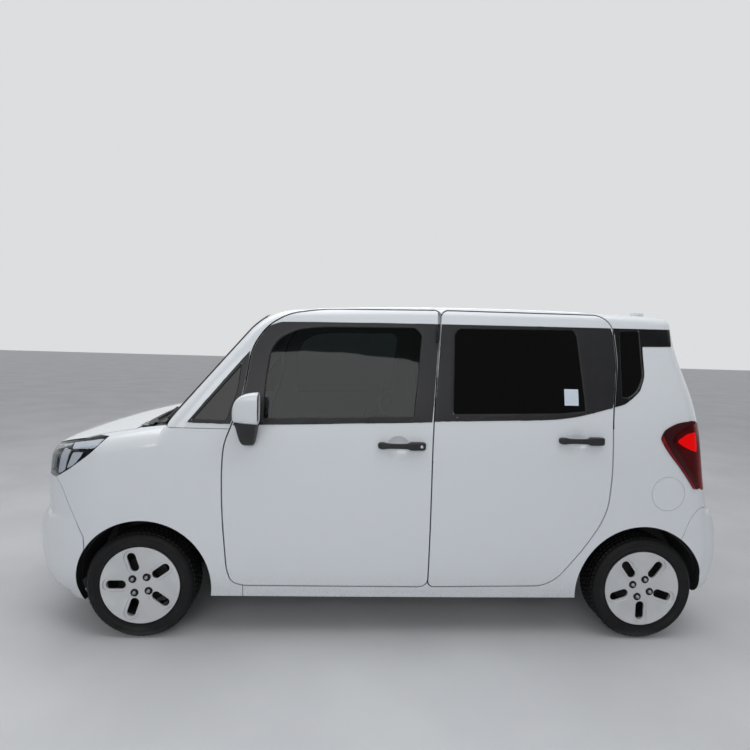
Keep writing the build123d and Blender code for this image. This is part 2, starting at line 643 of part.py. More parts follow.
# Dashboard and steering wheel.
DASH = [
    (CABIN_END - SEAT_GAP, 1004, 0),
    (930, 1000, 0.3),
    (806, 948, 0.4),
    (772, 860, 0.4),
    (832, 700, 0.4),
    (940, 640, 0.2),
    (CABIN_END - SEAT_GAP, 640, 0),
]
dash = side_prism(DASH, -790, 790) & FIT & under_top(ROOF_WALL, 26)
for s in (1, -1):
    for z in DOOR_HINGES[0][3]:
        dash = dash - block(700, 800, s * (NECK_Y - MOVE_GAP), s * 800, z - ARM_H / 2 - 3, z + ARM_H / 2 + 3)
pieces["dashboard"] = biggest(dash)
STEER_X, STEER_Y, STEER_Z, STEER_TILT = 640.0, 355.0, 915.0, 66.0
wheel_place = Pos(STEER_X, STEER_Y, STEER_Z) * Rot(0, -STEER_TILT, 0)
ring = wheel_place * Torus(180, 14)
spokes = wheel_place * (Cylinder(45, 26) + Box(60, 345, 16) + Pos(-85, 0, 0) * Box(175, 34, 14))
column = wheel_place * Pos(0, 0, -110) * Cylinder(24, 210)
pieces["steering_wheel"] = biggest((ring + spokes + column) - side_prism(DASH, -790, 790, SEAT_GAP))

# Seats.
SEAT_X, SEAT_Y, SEAT_Z, SEAT_W = 330.0, 345.0, 520.0, 490.0
FLOOR_TOP = SILL_Z + FLOOR_T


def seat(x, y, z, width, depth, back, rake):
    """Cushion, raked backrest and head rests on a plinth standing on the floor."""
    cushion = Pos(x, y, z - 65) * Box(depth, width, 130)
    cushion = fillet(cushion.edges().filter_by(Axis.X), 40)
    rest = Pos(0, 0, back / 2 - 40) * Box(110, width, back)
    rest = fillet(rest.edges().filter_by(Axis.X), 45)
    head = Pos(10, 0, back + 45) * Box(80, 250, 130)
    head = fillet(head.edges(), 25)
    rest = Pos(x - depth / 2 + 20, y, z) * Rot(0, -rake, 0) * (rest + head)
    return cushion + rest


plinth = block(SEAT_X - 190, SEAT_X + 170, SEAT_Y - 190, SEAT_Y + 190, FLOOR_TOP + SEAT_GAP, SEAT_Z - 110)
front_seat = seat(SEAT_X, SEAT_Y, SEAT_Z, SEAT_W, 500, 600, 14) + plinth
pieces["front_seats"] = pair(biggest(front_seat))
BENCH_X, BENCH_Z = -560.0, 540.0
bench = seat(BENCH_X, 0, BENCH_Z, 1150, 470, 590, 12)
bench = bench + block(BENCH_X - 200, BENCH_X + 180, -520, 520, FLOOR_TOP + SEAT_GAP, BENCH_Z - 100)
pieces["rear_bench"] = biggest(bench)

# Running gear under the body.
SUB_Z0, SUB_Z1, ARM_TOP, STRUT_Z = 125.0, SILL_Z - SEAT_GAP, 145.0, 552.0
pieces["engine"] = block(BAY_START + 45, 1560, -330, 330, 250, 800, 12)
subframe = block(CABIN_END, 1330, -420, 420, SUB_Z0, SUB_Z1)
for s in (1, -1):
    subframe = subframe + block(1200, 1300, s * 180, s * 300, SUB_Z1 - 5, 250 - SEAT_GAP)
    inner, tip = s * 410, s * 673
    arm = plan_prism([(1105, inner, 0), (1270, inner, 0), (1176, tip, 0.3), (1139, tip, 0.3)], SUB_Z0, ARM_TOP)
    subframe = subframe + arm
pieces["front_subframe"] = subframe
SPINDLE_R = 18.0
HUB_BORE_R = SPINDLE_R + PIN_FIT
axle = rod((-1170, -525, 255), (-1170, 525, 255), 36)
for s in (1, -1):
    axle = axle + block(REAR_AXLE - 40, RISER_X - 10 - SEAT_GAP, s * 495, s * 545, 230, 282)
    axle = axle + block(REAR_AXLE - 45, REAR_AXLE + 45, s * 540, s * 612, WHEEL_Z - 48, WHEEL_Z + 48)
    axle = axle + rod((REAR_AXLE, s * 600, WHEEL_Z), (REAR_AXLE, s * 726, WHEEL_Z), SPINDLE_R)
    axle = axle + rod((REAR_AXLE + 70, s * 500, 270), (REAR_AXLE + 70, s * 500, LOAD_FLOOR_Z - 20 - SEAT_GAP), 44)
pieces["rear_axle"] = axle
PIPE_Y, PIPE_Z = -150.0, 165.0
pipe = rod((1000, PIPE_Y, PIPE_Z), (-1520, PIPE_Y, PIPE_Z), 22)
pipe = pipe + block(-1590, -1470, -320, 120, 150, 290, 30)
for x in (500, -600):
    pipe = pipe + block(x - 15, x + 15, PIPE_Y - 12, PIPE_Y + 12, PIPE_Z, SUB_Z1)
pieces["exhaust"] = pipe - block(CABIN_END - 3, 1400, -420, 420, SUB_Z0 - 5, 260)
pieces["fuel_tank"] = block(-960, -430, -90, 450, 145, SUB_Z1, 10)

# Front knuckles: hub carrier, spindle and strut.
knuckle = block(FRONT_AXLE - 45, FRONT_AXLE + 45, 588, 668, WHEEL_Z - 60, WHEEL_Z + 70)
knuckle = knuckle + block(FRONT_AXLE - 22, FRONT_AXLE + 22, 625, 668, KING_FOOT[2], WHEEL_Z)
knuckle = knuckle + rod((FRONT_AXLE, 660, WHEEL_Z), (FRONT_AXLE, 726, WHEEL_Z), SPINDLE_R)
knuckle = knuckle + rod((FRONT_AXLE, 596, WHEEL_Z + 40), on_kingpin(STRUT_Z + 20), 18)
knuckle = knuckle + rod(on_kingpin(ARM_TOP + 15), on_kingpin(ARM_TOP + 2.1), 8)
knuckle = knuckle + rod(on_kingpin(STRUT_Z), KING_TOP, STRUT_R)
pieces["knuckle_left"] = biggest(knuckle)
pieces["knuckle_right"] = other(pieces["knuckle_left"])

# Wheels, built about the origin with their outer face toward +Y.
SLOT_COUNT, SLOT_IN, SLOT_OUT, SLOT_W = 5, 71.0, 167.0, 43.0
# A shallow pressing round each slot.
PRESS_Y, PRESS_W = 64.5, 24.0


def turned(corners):
    """Solid turned about the wheel's axle from radius, offset and corner share."""
    face = Plane.XY * make_face(rounded(corners))
    return revolve(face, Axis.Y)


TYRE = [
    (RIM_SEAT_R + SEAT_GAP, -61, 0.1),
    (196, -66, 0.2),
    (232, -TYRE_WIDTH / 2, 0.45),
    (250, -77, 0.3),
    (TYRE_R, -60, 0.3),
    (TYRE_R, 60, 0.3),
    (250, 77, 0.3),
    (232, TYRE_WIDTH / 2, 0.45),
    (196, 66, 0.2),
    (RIM_SEAT_R + SEAT_GAP, 61, 0.1),
]
FLANGE_IN = 61.0 + SEAT_GAP
RIM = [
    (160, -72, 0),
    (RIM_FLANGE_R - 3, -74, 0.2),
    (RIM_FLANGE_R - 3, -67.5, 0.2),
    (RIM_SEAT_R, -FLANGE_IN, 0.05),
    (RIM_SEAT_R, FLANGE_IN, 0.05),
    (RIM_FLANGE_R - 3, 67.5, 0.2),
    (RIM_FLANGE_R - 3, 74, 0.3),
    (168, 71, 0.2),
    (60, 66, 0.2),
    (0, 66, 0),
    (0, 30, 0),
    (HUB_BORE_R, 30, 0),
    (HUB_BORE_R, -18, 0),
    (118, -18, 0),
    (118, 2, 0),
    (62, 2, 0),
    (62, 56, 0),
    (165, 58, 0),
    (165, -55, 0),
    (160, -60, 0),
]
tyre = turned(TYRE)
rim = turned(RIM)
for i in range(SLOT_COUNT):
    mid = (SLOT_IN + SLOT_OUT) / 2
    slot = extrude(Plane.XZ.offset(-90) * Pos(mid, 0) * SlotOverall(SLOT_OUT - SLOT_IN, SLOT_W), amount=60)
    press = Plane.XZ.offset(-PRESS_Y) * Pos(mid, 0) * SlotOverall(SLOT_OUT - SLOT_IN + PRESS_W, SLOT_W + PRESS_W)
    press = extrude(press, amount=-20, taper=-20)
    rim = rim - Rot(0, i * 360 / SLOT_COUNT, 0) * (slot + press)
WHEELS = (
    ("front_left", FRONT_AXLE, 1, 0),
    ("front_right", FRONT_AXLE, -1, 0),
    ("rear_left", REAR_AXLE, 1, 90),
    ("rear_right", REAR_AXLE, -1, 90),
)
for name, x, side, turn in WHEELS:
    for kind, shape in (("tyre", tyre), ("wheel", rim)):
        placed = Pos(x, TRACK_HALF, WHEEL_Z) * Rot(0, turn, 0) * shape
        pieces[f"{name}_{kind}"] = placed if side > 0 else other(placed)

# Mirrors on the front doors.
mirror_cap = block(567, 693, 822, 905, 1094, 1236, 28)
foot = block(596, 676, 740, 872, 1010, 1100, 14)
mirror_left = (mirror_cap + foot) - skin(SKIN, -SEAT_GAP)
pieces["mirror_left"] = biggest(mirror_left)
pieces["mirror_right"] = other(pieces["mirror_left"])

for name, shape in pieces.items():
    print(name, len(shape.solids()), [round(s.volume / 1e6, 2) for s in shape.solids()], shape.is_valid)
    shape.label = name
    export_step(shape, f"parts/{name}.step")
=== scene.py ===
# %% [markdown]
# A city car stands on a pale floor. Its panels, glass, running gear and seats come as solids at their real
# place and size, in metres: +X points forward, +Y to the left side, +Z up. This lesson gives them finishes
# and adds what solids leave out, such as tread, seals, lamps, handles, wipers and stuffed seats.

# %% Load the solid car
import math
import bmesh
import bpy
from mathutils import Matrix, Vector
from mathutils.bvhtree import BVHTree
from mathutils.geometry import delaunay_2d_cdt


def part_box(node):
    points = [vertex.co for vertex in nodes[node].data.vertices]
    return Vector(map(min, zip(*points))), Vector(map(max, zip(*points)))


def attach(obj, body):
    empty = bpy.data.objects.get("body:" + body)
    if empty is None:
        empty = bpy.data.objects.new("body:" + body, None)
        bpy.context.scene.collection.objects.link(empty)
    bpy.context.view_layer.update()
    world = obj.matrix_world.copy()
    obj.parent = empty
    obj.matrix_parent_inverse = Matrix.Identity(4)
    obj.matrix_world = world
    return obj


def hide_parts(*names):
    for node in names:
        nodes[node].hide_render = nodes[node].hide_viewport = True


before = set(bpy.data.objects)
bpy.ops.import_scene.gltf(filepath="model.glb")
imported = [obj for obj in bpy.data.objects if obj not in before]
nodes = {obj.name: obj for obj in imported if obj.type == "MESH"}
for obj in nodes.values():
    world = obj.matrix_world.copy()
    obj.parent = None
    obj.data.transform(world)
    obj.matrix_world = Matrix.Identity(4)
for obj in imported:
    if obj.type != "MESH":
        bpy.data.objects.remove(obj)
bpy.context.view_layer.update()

# %% [markdown]
# Materials and Geometry Nodes are both graphs of small nodes. Wiring them by hand is long, so a wire is
# wrapped in a class: adding, multiplying or comparing wires adds the Math node for it. Every other node
# comes from one method that takes the node's type, its settings and the values or wires of its sockets.

# %% Wires and graphs
class Wire:
    """A socket that takes part in sums."""

    def __init__(self, graph, socket):
        self.graph = graph
        self.socket = socket

    def sum(self, operation, *values):
        return self.graph.add("ShaderNodeMath", {"operation": operation}, list(values))["Value"]

    def __add__(self, other):
        return self.sum("ADD", self, other)

    def __radd__(self, other):
        return self.sum("ADD", other, self)

    def __sub__(self, other):
        return self.sum("SUBTRACT", self, other)

    def __rsub__(self, other):
        return self.sum("SUBTRACT", other, self)

    def __mul__(self, other):
        return self.sum("MULTIPLY", self, other)

    def __rmul__(self, other):
        return self.sum("MULTIPLY", other, self)

    def __truediv__(self, other):
        return self.sum("DIVIDE", self, other)

    def __gt__(self, other):
        return self.sum("GREATER_THAN", self, other)

    def __lt__(self, other):
        return self.sum("LESS_THAN", self, other)

    def size(self):
        return self.sum("ABSOLUTE", self)

    def wave(self):
        return self.sum("SINE", self)

    def step(self, low, high):
        """0 under low, 1 over high, smooth between them."""
        settings = {"interpolation_type": "SMOOTHSTEP"}
        return self.graph.add("ShaderNodeMapRange", settings, [self, low, high, 0.0, 1.0])["Result"]


class Made:
    """A node that was added. Its outputs are read by name."""

    def __init__(self, graph, node):
        self.graph = graph
        self.node = node

    def __getitem__(self, name):
        return Wire(self.graph, self.node.outputs[name])


class Graph:
    """A node tree that is built by add()."""

    def __init__(self, tree):
        self.tree = tree

    def join(self, socket, value):
        if isinstance(value, Wire):
            self.tree.links.new(value.socket, socket)
        elif value is not None:
            colour = isinstance(value, tuple) and socket.type == "RGBA" and len(value) == 3
            socket.default_value = (*value, 1.0) if colour else value

    def add(self, kind, settings=None, values=None):
        node = self.tree.nodes.new(kind)
        for key, value in (settings or {}).items():
            if key == "stops":
                for element, (place, colour) in zip(node.color_ramp.elements, value):
                    element.position = place
                    element.color = colour
            else:
                setattr(node, key, value)
        pairs = values.items() if isinstance(values, dict) else enumerate(values or [])
        for key, value in pairs:
            self.join(node.inputs[key], value)
        return Made(self, node)


class Finish(Graph):
    """A material: one Principled shader and what feeds it."""

    def __init__(self, name, slot, sockets):
        self.material = bpy.data.materials.new(name)
        self.material.use_nodes = True
        super().__init__(self.material.node_tree)
        self.slot = slot
        self.shader = self.tree.nodes["Principled BSDF"]
        self.feed(sockets)
        self.here = self.add("ShaderNodeTexCoord")["Object"]
        self.split = self.add("ShaderNodeSeparateXYZ", None, [self.here])

    def feed(self, sockets):
        for name, value in sockets.items():
            self.join(self.shader.inputs[name], value)

    def noise(self, scale, detail=3.0, stretch=None):
        place = self.here
        if stretch:
            place = self.add("ShaderNodeMapping", None, {"Vector": place, "Scale": stretch})["Vector"]
        values = {"Vector": place, "Scale": scale, "Detail": detail}
        return self.add("ShaderNodeTexNoise", None, values)["Fac"]

    def mix(self, share, first, second):
        """A colour between two others."""
        mixed = self.add("ShaderNodeMix", {"data_type": "RGBA"}, {0: share, 6: first, 7: second})
        return Wire(self, mixed.node.outputs[2])

    def bump(self, height, strength, depth):
        values = {"Height": height, "Strength": strength, "Distance": depth}
        self.feed({"Normal": self.add("ShaderNodeBump", None, values)["Normal"]})


print("graph classes ready")

# %% [markdown]
# Car paint is a pigment layer under clear lacquer. The pigment is the base, which a very faint mottle keeps
# from looking flat, and the lacquer is the coat. Road dirt sits low on the sills, so a mask by height, broken
# up by noise, darkens and dulls the paint there. Inside the wheel arches the paint is near black with no coat:
# partly the unpainted backs of the panels, and partly painted shade of the deep arch.

# %% Paint
WHITE = (0.765, 0.80, 0.835)
DIRT = (0.30, 0.29, 0.27)
DIRT_TOP, DIRT_FULL = 0.36, 0.16
# Middles of the arches in side view, and how far from them the paint is near black: unpainted backs and painted
# shade.
ARCHES = ((1.1475, 0.259), (-1.3495, 0.259))
ARCH_EDGE = 0.332


def make_paint():
    paint = Finish("white_paint", "paint", {"Coat Roughness": 0.03})
    low = 1 - paint.split["Z"].step(DIRT_FULL, DIRT_TOP)
    speckle = paint.noise(170.0, 5.0).step(0.55, 0.68)
    film = paint.noise(9.0, 4.0) * 0.25
    dirt = low * (speckle * 0.6 + film)
    mottle = paint.mix(paint.noise(3.0, 2.0) * 0.5, WHITE, tuple(c * 0.97 for c in WHITE))
    # Near black inside the arches: the panels' unpainted backs, and painted shade of the arch.
    inside = 0.0
    for x, z in ARCHES:
        across = paint.split["X"] - x
        up = paint.split["Z"] - z
        inside = (across * across + up * up < ARCH_EDGE**2) + inside
    paint.feed({
        "Base Color": paint.mix(inside, paint.mix(dirt, mottle, DIRT), (0.012, 0.012, 0.013)),
        "Roughness": dirt * 0.3 + inside * 0.3 + 0.36,
        "Coat Weight": 1 - inside,
    })
    paint.bump(paint.noise(240.0, 1.0), 0.015, 0.0004)
    return paint


PAINT = make_paint()
print("paint:", PAINT.material.name)

# %% [markdown]
# The rest of the car is plastic, rubber, metal, cloth and glass. Each finish differs in grain: moulded trim
# has a fine leather grain, rubber is dull with a bloom, cast metal is coarse and rusty in places. Noise at the
# real scale of each grain drives the bump and the roughness.

# %% Plastics, rubber, metals and cloth
def grained(name, slot, colour, rough, scale, depth, vary=0.15, metal=0.0):
    """A finish with one grain, which changes its colour, gloss and height a little."""
    finish = Finish(name, slot, {"Metallic": metal})
    grain = finish.noise(scale, 4.0)
    wear = finish.noise(scale / 40, 3.0)
    darker = tuple(c * (1 - vary) for c in colour)
    lighter = tuple(min(1.0, c * (1 + vary)) for c in colour)
    finish.feed({
        "Base Color": finish.mix(wear.step(0.35, 0.65), darker, lighter),
        "Roughness": grain * 0.12 + wear * 0.1 + (rough - 0.11),
    })
    finish.bump(grain, 0.35, depth)
    return finish


SATIN = grained("satin_pillar_film", "black_plastic", (0.017, 0.017, 0.020), 0.42, 900.0, 0.00002, 0.06)
PLASTIC = grained("grained_black_plastic", "black_plastic", (0.022, 0.022, 0.024), 0.55, 700.0, 0.00015)
SMOOTH_BLACK = grained("gloss_black_plastic", "black_plastic", (0.008, 0.008, 0.009), 0.12, 300.0, 0.000005)
SEAL = grained("rubber_seal", "black_plastic", (0.014, 0.014, 0.015), 0.42, 500.0, 0.00005)
TRIM = grained("soft_trim", "trim", (0.05, 0.05, 0.055), 0.6, 600.0, 0.0002)
CAST = grained("cast_metal", "steel", (0.10, 0.095, 0.09), 0.62, 120.0, 0.0006, 0.35, 0.75)
DARK_STEEL = grained("dark_steel", "steel", (0.035, 0.035, 0.037), 0.5, 150.0, 0.0003, 0.3, 0.6)
BRIGHT = grained("bright_metal", "wheel", (0.80, 0.81, 0.83), 0.14, 200.0, 0.00001, 0.03, 1.0)
DULL_CHROME = grained("dull_chrome", "wheel", (0.42, 0.43, 0.45), 0.3, 200.0, 0.00002, 0.1, 1.0)
DARK_RED = grained("dark_red_plastic", "lamp_red", (0.13, 0.006, 0.010), 0.35, 240.0, 0.00002, 0.2)
UNDERSIDE = grained("underseal", "inner_paint", (0.06, 0.06, 0.062), 0.7, 160.0, 0.0008, 0.3)
print("plain finishes ready")

# %% [markdown]
# The wheel is silver outside and near black inside: partly brake dust, and partly painted shade of the
# barrel seen through the slots. So its colour changes with the distance from the car's middle. Tyre rubber
# has a bloom on its wall.

# %% Wheel and tyre finishes
WHEEL_BACK, WHEEL_FACE = 0.745, 0.757


def make_wheel_finish():
    wheel = Finish("silver_wheel", "wheel", {"Coat Weight": 0.25})
    # The inner barrel is near black: brake dust, and painted shade seen through the slots.
    out = wheel.split["Y"].size().step(WHEEL_BACK, WHEEL_FACE)
    cloud = wheel.noise(7.0, 3.0)
    silver = wheel.mix(cloud.step(0.3, 0.7), (0.62, 0.63, 0.645), (0.70, 0.71, 0.72))
    wheel.feed({
        "Base Color": wheel.mix(out, (0.02, 0.02, 0.021), silver),
        "Metallic": out * 0.4,
        "Roughness": 0.62 - out * 0.3 + wheel.noise(420.0) * 0.08,
    })
    wheel.bump(wheel.noise(900.0, 1.0), 0.12, 0.00005)
    return wheel


def make_tyre_finish():
    tyre = Finish("tyre_rubber", "tyre", {"Specular IOR Level": 0.3})
    bloom = tyre.noise(14.0, 4.0).step(0.45, 0.75)
    dust = 1 - tyre.split["Z"].step(0.0, 0.06)
    tone = tyre.mix(bloom * 0.5, (0.007, 0.007, 0.008), (0.018, 0.018, 0.018))
    tyre.feed({
        "Base Color": tyre.mix(dust * 0.35, tone, (0.11, 0.105, 0.10)),
        "Roughness": tyre.noise(60.0) * 0.18 + 0.52,
    })
    tyre.bump(tyre.noise(1100.0, 2.0), 0.25, 0.0001)
    return tyre


WHEEL_SILVER = make_wheel_finish()
RUBBER = make_tyre_finish()
print("wheel finishes ready")

# %% [markdown]
# Window glass has to show the cabin and still reflect the hall. A see-through shader is mixed with a glossy
# one; the tint is in the see-through colour. The windscreen has a baked black border, which hides its glue:
# a mask in object coordinates turns the mix opaque there.

# %% Glass
# How much of a pane is glossy where it is seen edge-on.
EDGE_SHARE = 0.9
# The clear field of the windscreen: its height, and its half width, which narrows upwards.
SCREEN_BORDER = ((1.125, 1.575), (0.800, 0.165), 0.012)


def make_glass(name, slot, tint, body, gloss, border=None):
    """See-through by the tint, and glossy over the dark body by a share that grows towards edge-on."""
    sockets = {"Base Color": body, "Roughness": 0.02, "Specular IOR Level": 1.0, "Coat Weight": 1.0}
    glass = Finish(name, slot, sockets)
    clear = glass.add("ShaderNodeBsdfTransparent", None, {"Color": tint})["BSDF"]
    facing = glass.add("ShaderNodeLayerWeight", None, {"Blend": 0.5})["Facing"]
    share = facing * facing * facing * (EDGE_SHARE - gloss) + gloss
    if border:
        (low, high), (wide, narrows), soft = border
        z = glass.split["Z"]
        beside = glass.split["Y"].size() + z * narrows
        baked = (1 - z.step(low - soft, low)) + z.step(high, high + soft) + beside.step(wide, wide + soft)
        baked = baked.step(0.0, 1.0)
        share = share + baked
        glass.feed({"Roughness": baked * 0.5 + 0.02, "Coat Weight": 1 - baked})
    gloss_side = Wire(glass, glass.shader.outputs[0])
    both = glass.add("ShaderNodeMixShader", None, [share, clear, gloss_side])["Shader"]
    glass.tree.links.new(both.socket, glass.tree.nodes["Material Output"].inputs["Surface"])
    return glass


CLEAR_GLASS = make_glass("tinted_glass", "glass_clear", (0.36, 0.40, 0.40), (0.003, 0.004, 0.004), 0.2)
DARK_GLASS = make_glass("dark_glass", "glass_dark", (0.15, 0.155, 0.16), (0.002, 0.002, 0.003), 0.25)
SCREEN_GLASS = make_glass(
    "screen_glass", "glass_clear", (0.80, 0.85, 0.84), (0.004, 0.005, 0.005), 0.15, SCREEN_BORDER,
)
LENS = make_glass("lamp_lens", "lamp", (0.97, 0.975, 0.98), (0.02, 0.02, 0.022), 0.06)
print("glass ready")

# %% [markdown]
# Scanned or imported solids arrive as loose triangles, which shade flat. A small Geometry Nodes tree merges
# their corners and then smooths every edge that isn't a real corner, without touching the solid's own mesh.

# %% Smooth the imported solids
class Shape(Graph):
    """A Geometry Nodes tree with named inputs: label -> (socket type, value)."""

    def __init__(self, name, inputs=None):
        tree = bpy.data.node_groups.new(name, "GeometryNodeTree")
        super().__init__(tree)
        tree.interface.new_socket("Geometry", in_out="INPUT", socket_type="NodeSocketGeometry")
        for label, (kind, value) in (inputs or {}).items():
            socket = tree.interface.new_socket(label, in_out="INPUT", socket_type=kind)
            if value is not None:
                socket.default_value = value
        tree.interface.new_socket("Geometry", in_out="OUTPUT", socket_type="NodeSocketGeometry")
        self.given = Made(self, tree.nodes.new("NodeGroupInput"))
        self.out = tree.nodes.new("NodeGroupOutput")

    def end(self, geometry):
        self.tree.links.new(geometry.socket, self.out.inputs[0])

    def end_real(self, geometry):
        """Realizes the instances and gives them the finish of the input Finish."""
        real = self.add("GeometryNodeRealizeInstances", None, [geometry])["Geometry"]
        done = self.add("GeometryNodeSetMaterial", None, {"Geometry": real, "Material": self.given["Finish"]})
        self.end(done["Geometry"])

    def attach(self, holder, values):
        modifier = holder.modifiers.new(self.tree.name, "NODES")
        modifier.node_group = self.tree
        for item in self.tree.interface.items_tree:
            if item.in_out == "INPUT" and item.name in values:
                modifier[item.identifier] = values[item.name]
        return modifier


def make_smoother():
    shape = Shape("smooth_by_angle", {"Corner Angle": ("NodeSocketFloat", math.radians(28))})
    merged = shape.add("GeometryNodeMergeByDistance", None, {0: shape.given["Geometry"], "Distance": 0.00002})
    soft = shape.add("GeometryNodeSetShadeSmooth", None, {0: merged["Geometry"], "Shade Smooth": True})
    angle = shape.add("GeometryNodeInputMeshEdgeAngle")["Unsigned Angle"]
    values = {0: soft["Geometry"], "Selection": angle > shape.given["Corner Angle"], "Shade Smooth": False}
    shape.end(shape.add("GeometryNodeSetShadeSmooth", {"domain": "EDGE"}, values)["Geometry"])
    return shape


SMOOTHER = make_smoother()
NODE_FINISH = {
    "side_frames": PAINT, "fenders": PAINT, "roof": PAINT, "bonnet": PAINT, "front_bumper": PAINT,
    "rear_bumper": PAINT, "tailgate": PAINT, "front_door_left": PAINT, "front_door_right": PAINT,
    "rear_door_left": PAINT, "rear_door_right": PAINT, "mirror_left": PAINT, "mirror_right": PAINT,
    "cowl": PLASTIC, "lower_grille": PLASTIC, "arch_liners": PLASTIC, "dashboard": TRIM,
    "steering_wheel": TRIM, "floor": UNDERSIDE, "engine": CAST, "front_subframe": DARK_STEEL,
    "rear_axle": DARK_STEEL, "exhaust": CAST, "fuel_tank": UNDERSIDE, "knuckle_left": CAST,
    "knuckle_right": CAST, "headlamps": LENS, "windscreen": SCREEN_GLASS, "side_glass": DARK_GLASS,
    "front_glass_left": CLEAR_GLASS, "front_glass_right": CLEAR_GLASS, "rear_glass_left": DARK_GLASS,
    "rear_glass_right": DARK_GLASS, "tailgate_glass": DARK_GLASS, "tail_lamps": DARK_RED, "front_seats": TRIM,
    "rear_bench": TRIM,
}
for name, node in nodes.items():
    finish = NODE_FINISH.get(name, WHEEL_SILVER if name.endswith("_wheel") else RUBBER)
    node.data.materials.clear()
    node.data.materials.append(finish.material)
    SMOOTHER.attach(node, {})
print("finished nodes:", len(NODE_FINISH))

# %% [markdown]
# Every added piece is a plain mesh at the origin with its place in its points, and rides on a body. One
# helper makes such an object; others make meshes from faces, by turning a profile, and from a graph.

# %% Piece helpers
made = {}


def piece(name, mesh, body, finish, stands_for=(), smooth=True):
    """A mesh, kept as a piece of a body, with one finish."""
    thing = bpy.data.objects.new(name, mesh)
    bpy.context.scene.collection.objects.link(thing)
    mesh.materials.clear()
    mesh.materials.append(finish.material)
    mesh.polygons.foreach_set("use_smooth", [smooth] * len(mesh.polygons))
    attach(thing, body)
    if stands_for:
        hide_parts(*stands_for)
    made[name] = thing
    return thing


def mesh_of(name, shape):
    """Keeps a bmesh as a mesh."""
    mesh = bpy.data.meshes.new(name)
    shape.to_mesh(mesh)
    shape.free()
    return mesh


def baked(holder, name):
    """The mesh of an object with its modifiers, after which the object is removed."""
    graph = bpy.context.evaluated_depsgraph_get()
    graph.update()
    mesh = bpy.data.meshes.new_from_object(holder.evaluated_get(graph), depsgraph=graph)
    mesh.name = name
    bpy.data.objects.remove(holder)
    return mesh


def held(data, name="holder"):
    holder = bpy.data.objects.new(name, data)
    bpy.context.scene.collection.objects.link(holder)
    return holder


def grown(shape, name, start, values):
    """The plain mesh that a Geometry Nodes tree makes from a start mesh or curve."""
    holder = held(start or bpy.data.meshes.new("start"))
    shape.attach(holder, values)
    return baked(holder, name)


def softened(mesh, name, bevel=0.0, levels=0, angle=0.6, segments=2):
    """A mesh with rounded edges, and subdivided."""
    holder = held(mesh)
    if bevel:
        rounding = holder.modifiers.new("round", "BEVEL")
        rounding.width = bevel
        rounding.segments = segments
        rounding.limit_method = "ANGLE"
        rounding.angle_limit = angle
    if levels:
        finer = holder.modifiers.new("finer", "SUBSURF")
        finer.levels = levels
        finer.render_levels = levels
    return baked(holder, name)


def turned(name, profile, steps=128, closed=True):
    """A profile of (radius, offset) points turned about the Y axis."""
    shape = bmesh.new()
    rings = []
    for i in range(steps):
        a = 2 * math.pi * i / steps
        rings.append([shape.verts.new((r * math.cos(a), y, r * math.sin(a))) for r, y in profile])
    last = len(profile) if closed else len(profile) - 1
    for i in range(steps):
        here, there = rings[i], rings[(i + 1) % steps]
        for k in range(last):
            m = (k + 1) % len(profile)
            shape.faces.new((here[k], here[m], there[m], there[k]))
    bmesh.ops.remove_doubles(shape, verts=shape.verts, dist=1e-6)
    bmesh.ops.recalc_face_normals(shape, faces=shape.faces)
    return mesh_of(name, shape)


def joined(meshes, name):
    """Several meshes as one."""
    shape = bmesh.new()
    for mesh in meshes:
        shape.from_mesh(mesh)
    return mesh_of(name, shape)


def block(low, high):
    """A box mesh between two corners."""
    shape = bmesh.new()
    bmesh.ops.create_cube(shape, size=1.0)
    low, high = Vector(low), Vector(high)
    for v in shape.verts:
        v.co = Vector((low + high) / 2) + Vector(v.co[i] * (high[i] - low[i]) for i in range(3))
    return mesh_of("block", shape)


def flipped(mesh, name):
    """The mesh mirrored to the other side of the car."""
    shape = bmesh.new()
    shape.from_mesh(mesh)
    bmesh.ops.transform(shape, matrix=Matrix.Diagonal((1, -1, 1, 1)), verts=shape.verts)
    bmesh.ops.reverse_faces(shape, faces=shape.faces)
    return mesh_of(name, shape)


print("piece helpers ready")

# %% [markdown]
# The camera stands where the photographer stood: a little over three metres from the car's left side, at head
# height, turned and tilted by a few degrees, with a wide lens. Its axes are worked out from those angles.

# %% Camera
CAMERA_AT = Vector((0.151, 3.198, 1.479))
YAW, PITCH, ROLL = math.radians(-2.69), math.radians(-3.65), math.radians(1.66)
LENS_MM, SENSOR_MM = 24.0, 36.0


def place_camera():
    ahead = Vector((math.sin(YAW) * math.cos(PITCH), -math.cos(YAW) * math.cos(PITCH), math.sin(PITCH)))
    right = ahead.cross(Vector((0, 0, 1))).normalized()
    up = right.cross(ahead)
    across = math.cos(ROLL) * right + math.sin(ROLL) * up
    upward = math.cos(ROLL) * up - math.sin(ROLL) * right
    data = bpy.data.cameras.new("camera")
    data.lens = LENS_MM
    data.sensor_width = SENSOR_MM
    camera = bpy.data.objects.new("camera", data)
    turn = Matrix((across, upward, -ahead)).transposed().to_4x4()
    camera.matrix_world = Matrix.Translation(CAMERA_AT) @ turn
    bpy.context.scene.collection.objects.link(camera)
    bpy.context.scene.camera = camera
    return camera


print("camera:", place_camera().name)

# %% [markdown]
# Soft light from above and from the camera's side shows the rounded shoulders, and a pale world fills the
# shadows. Reflections see the hall darker on the camera's side, so that glass looks deep and not milky. The
# floor is one large pale plane with a faint mottle. It is stage, not part of the car.

# %% Light and floor
SOFTBOXES = (
    # name, place, aims at, width, depth, watts
    ("ceiling", (0.3, 0.6, 4.2), (0.0, 0.0, 0.6), 6.0, 3.2, 95.0),
    ("side", (1.2, 6.0, 3.0), (0.0, 0.0, 0.8), 5.0, 2.0, 70.0),
    ("back", (-1.5, -6.0, 3.2), (0.0, 0.0, 0.8), 5.0, 2.0, 50.0),
)
FLOOR_HALF = 40.0


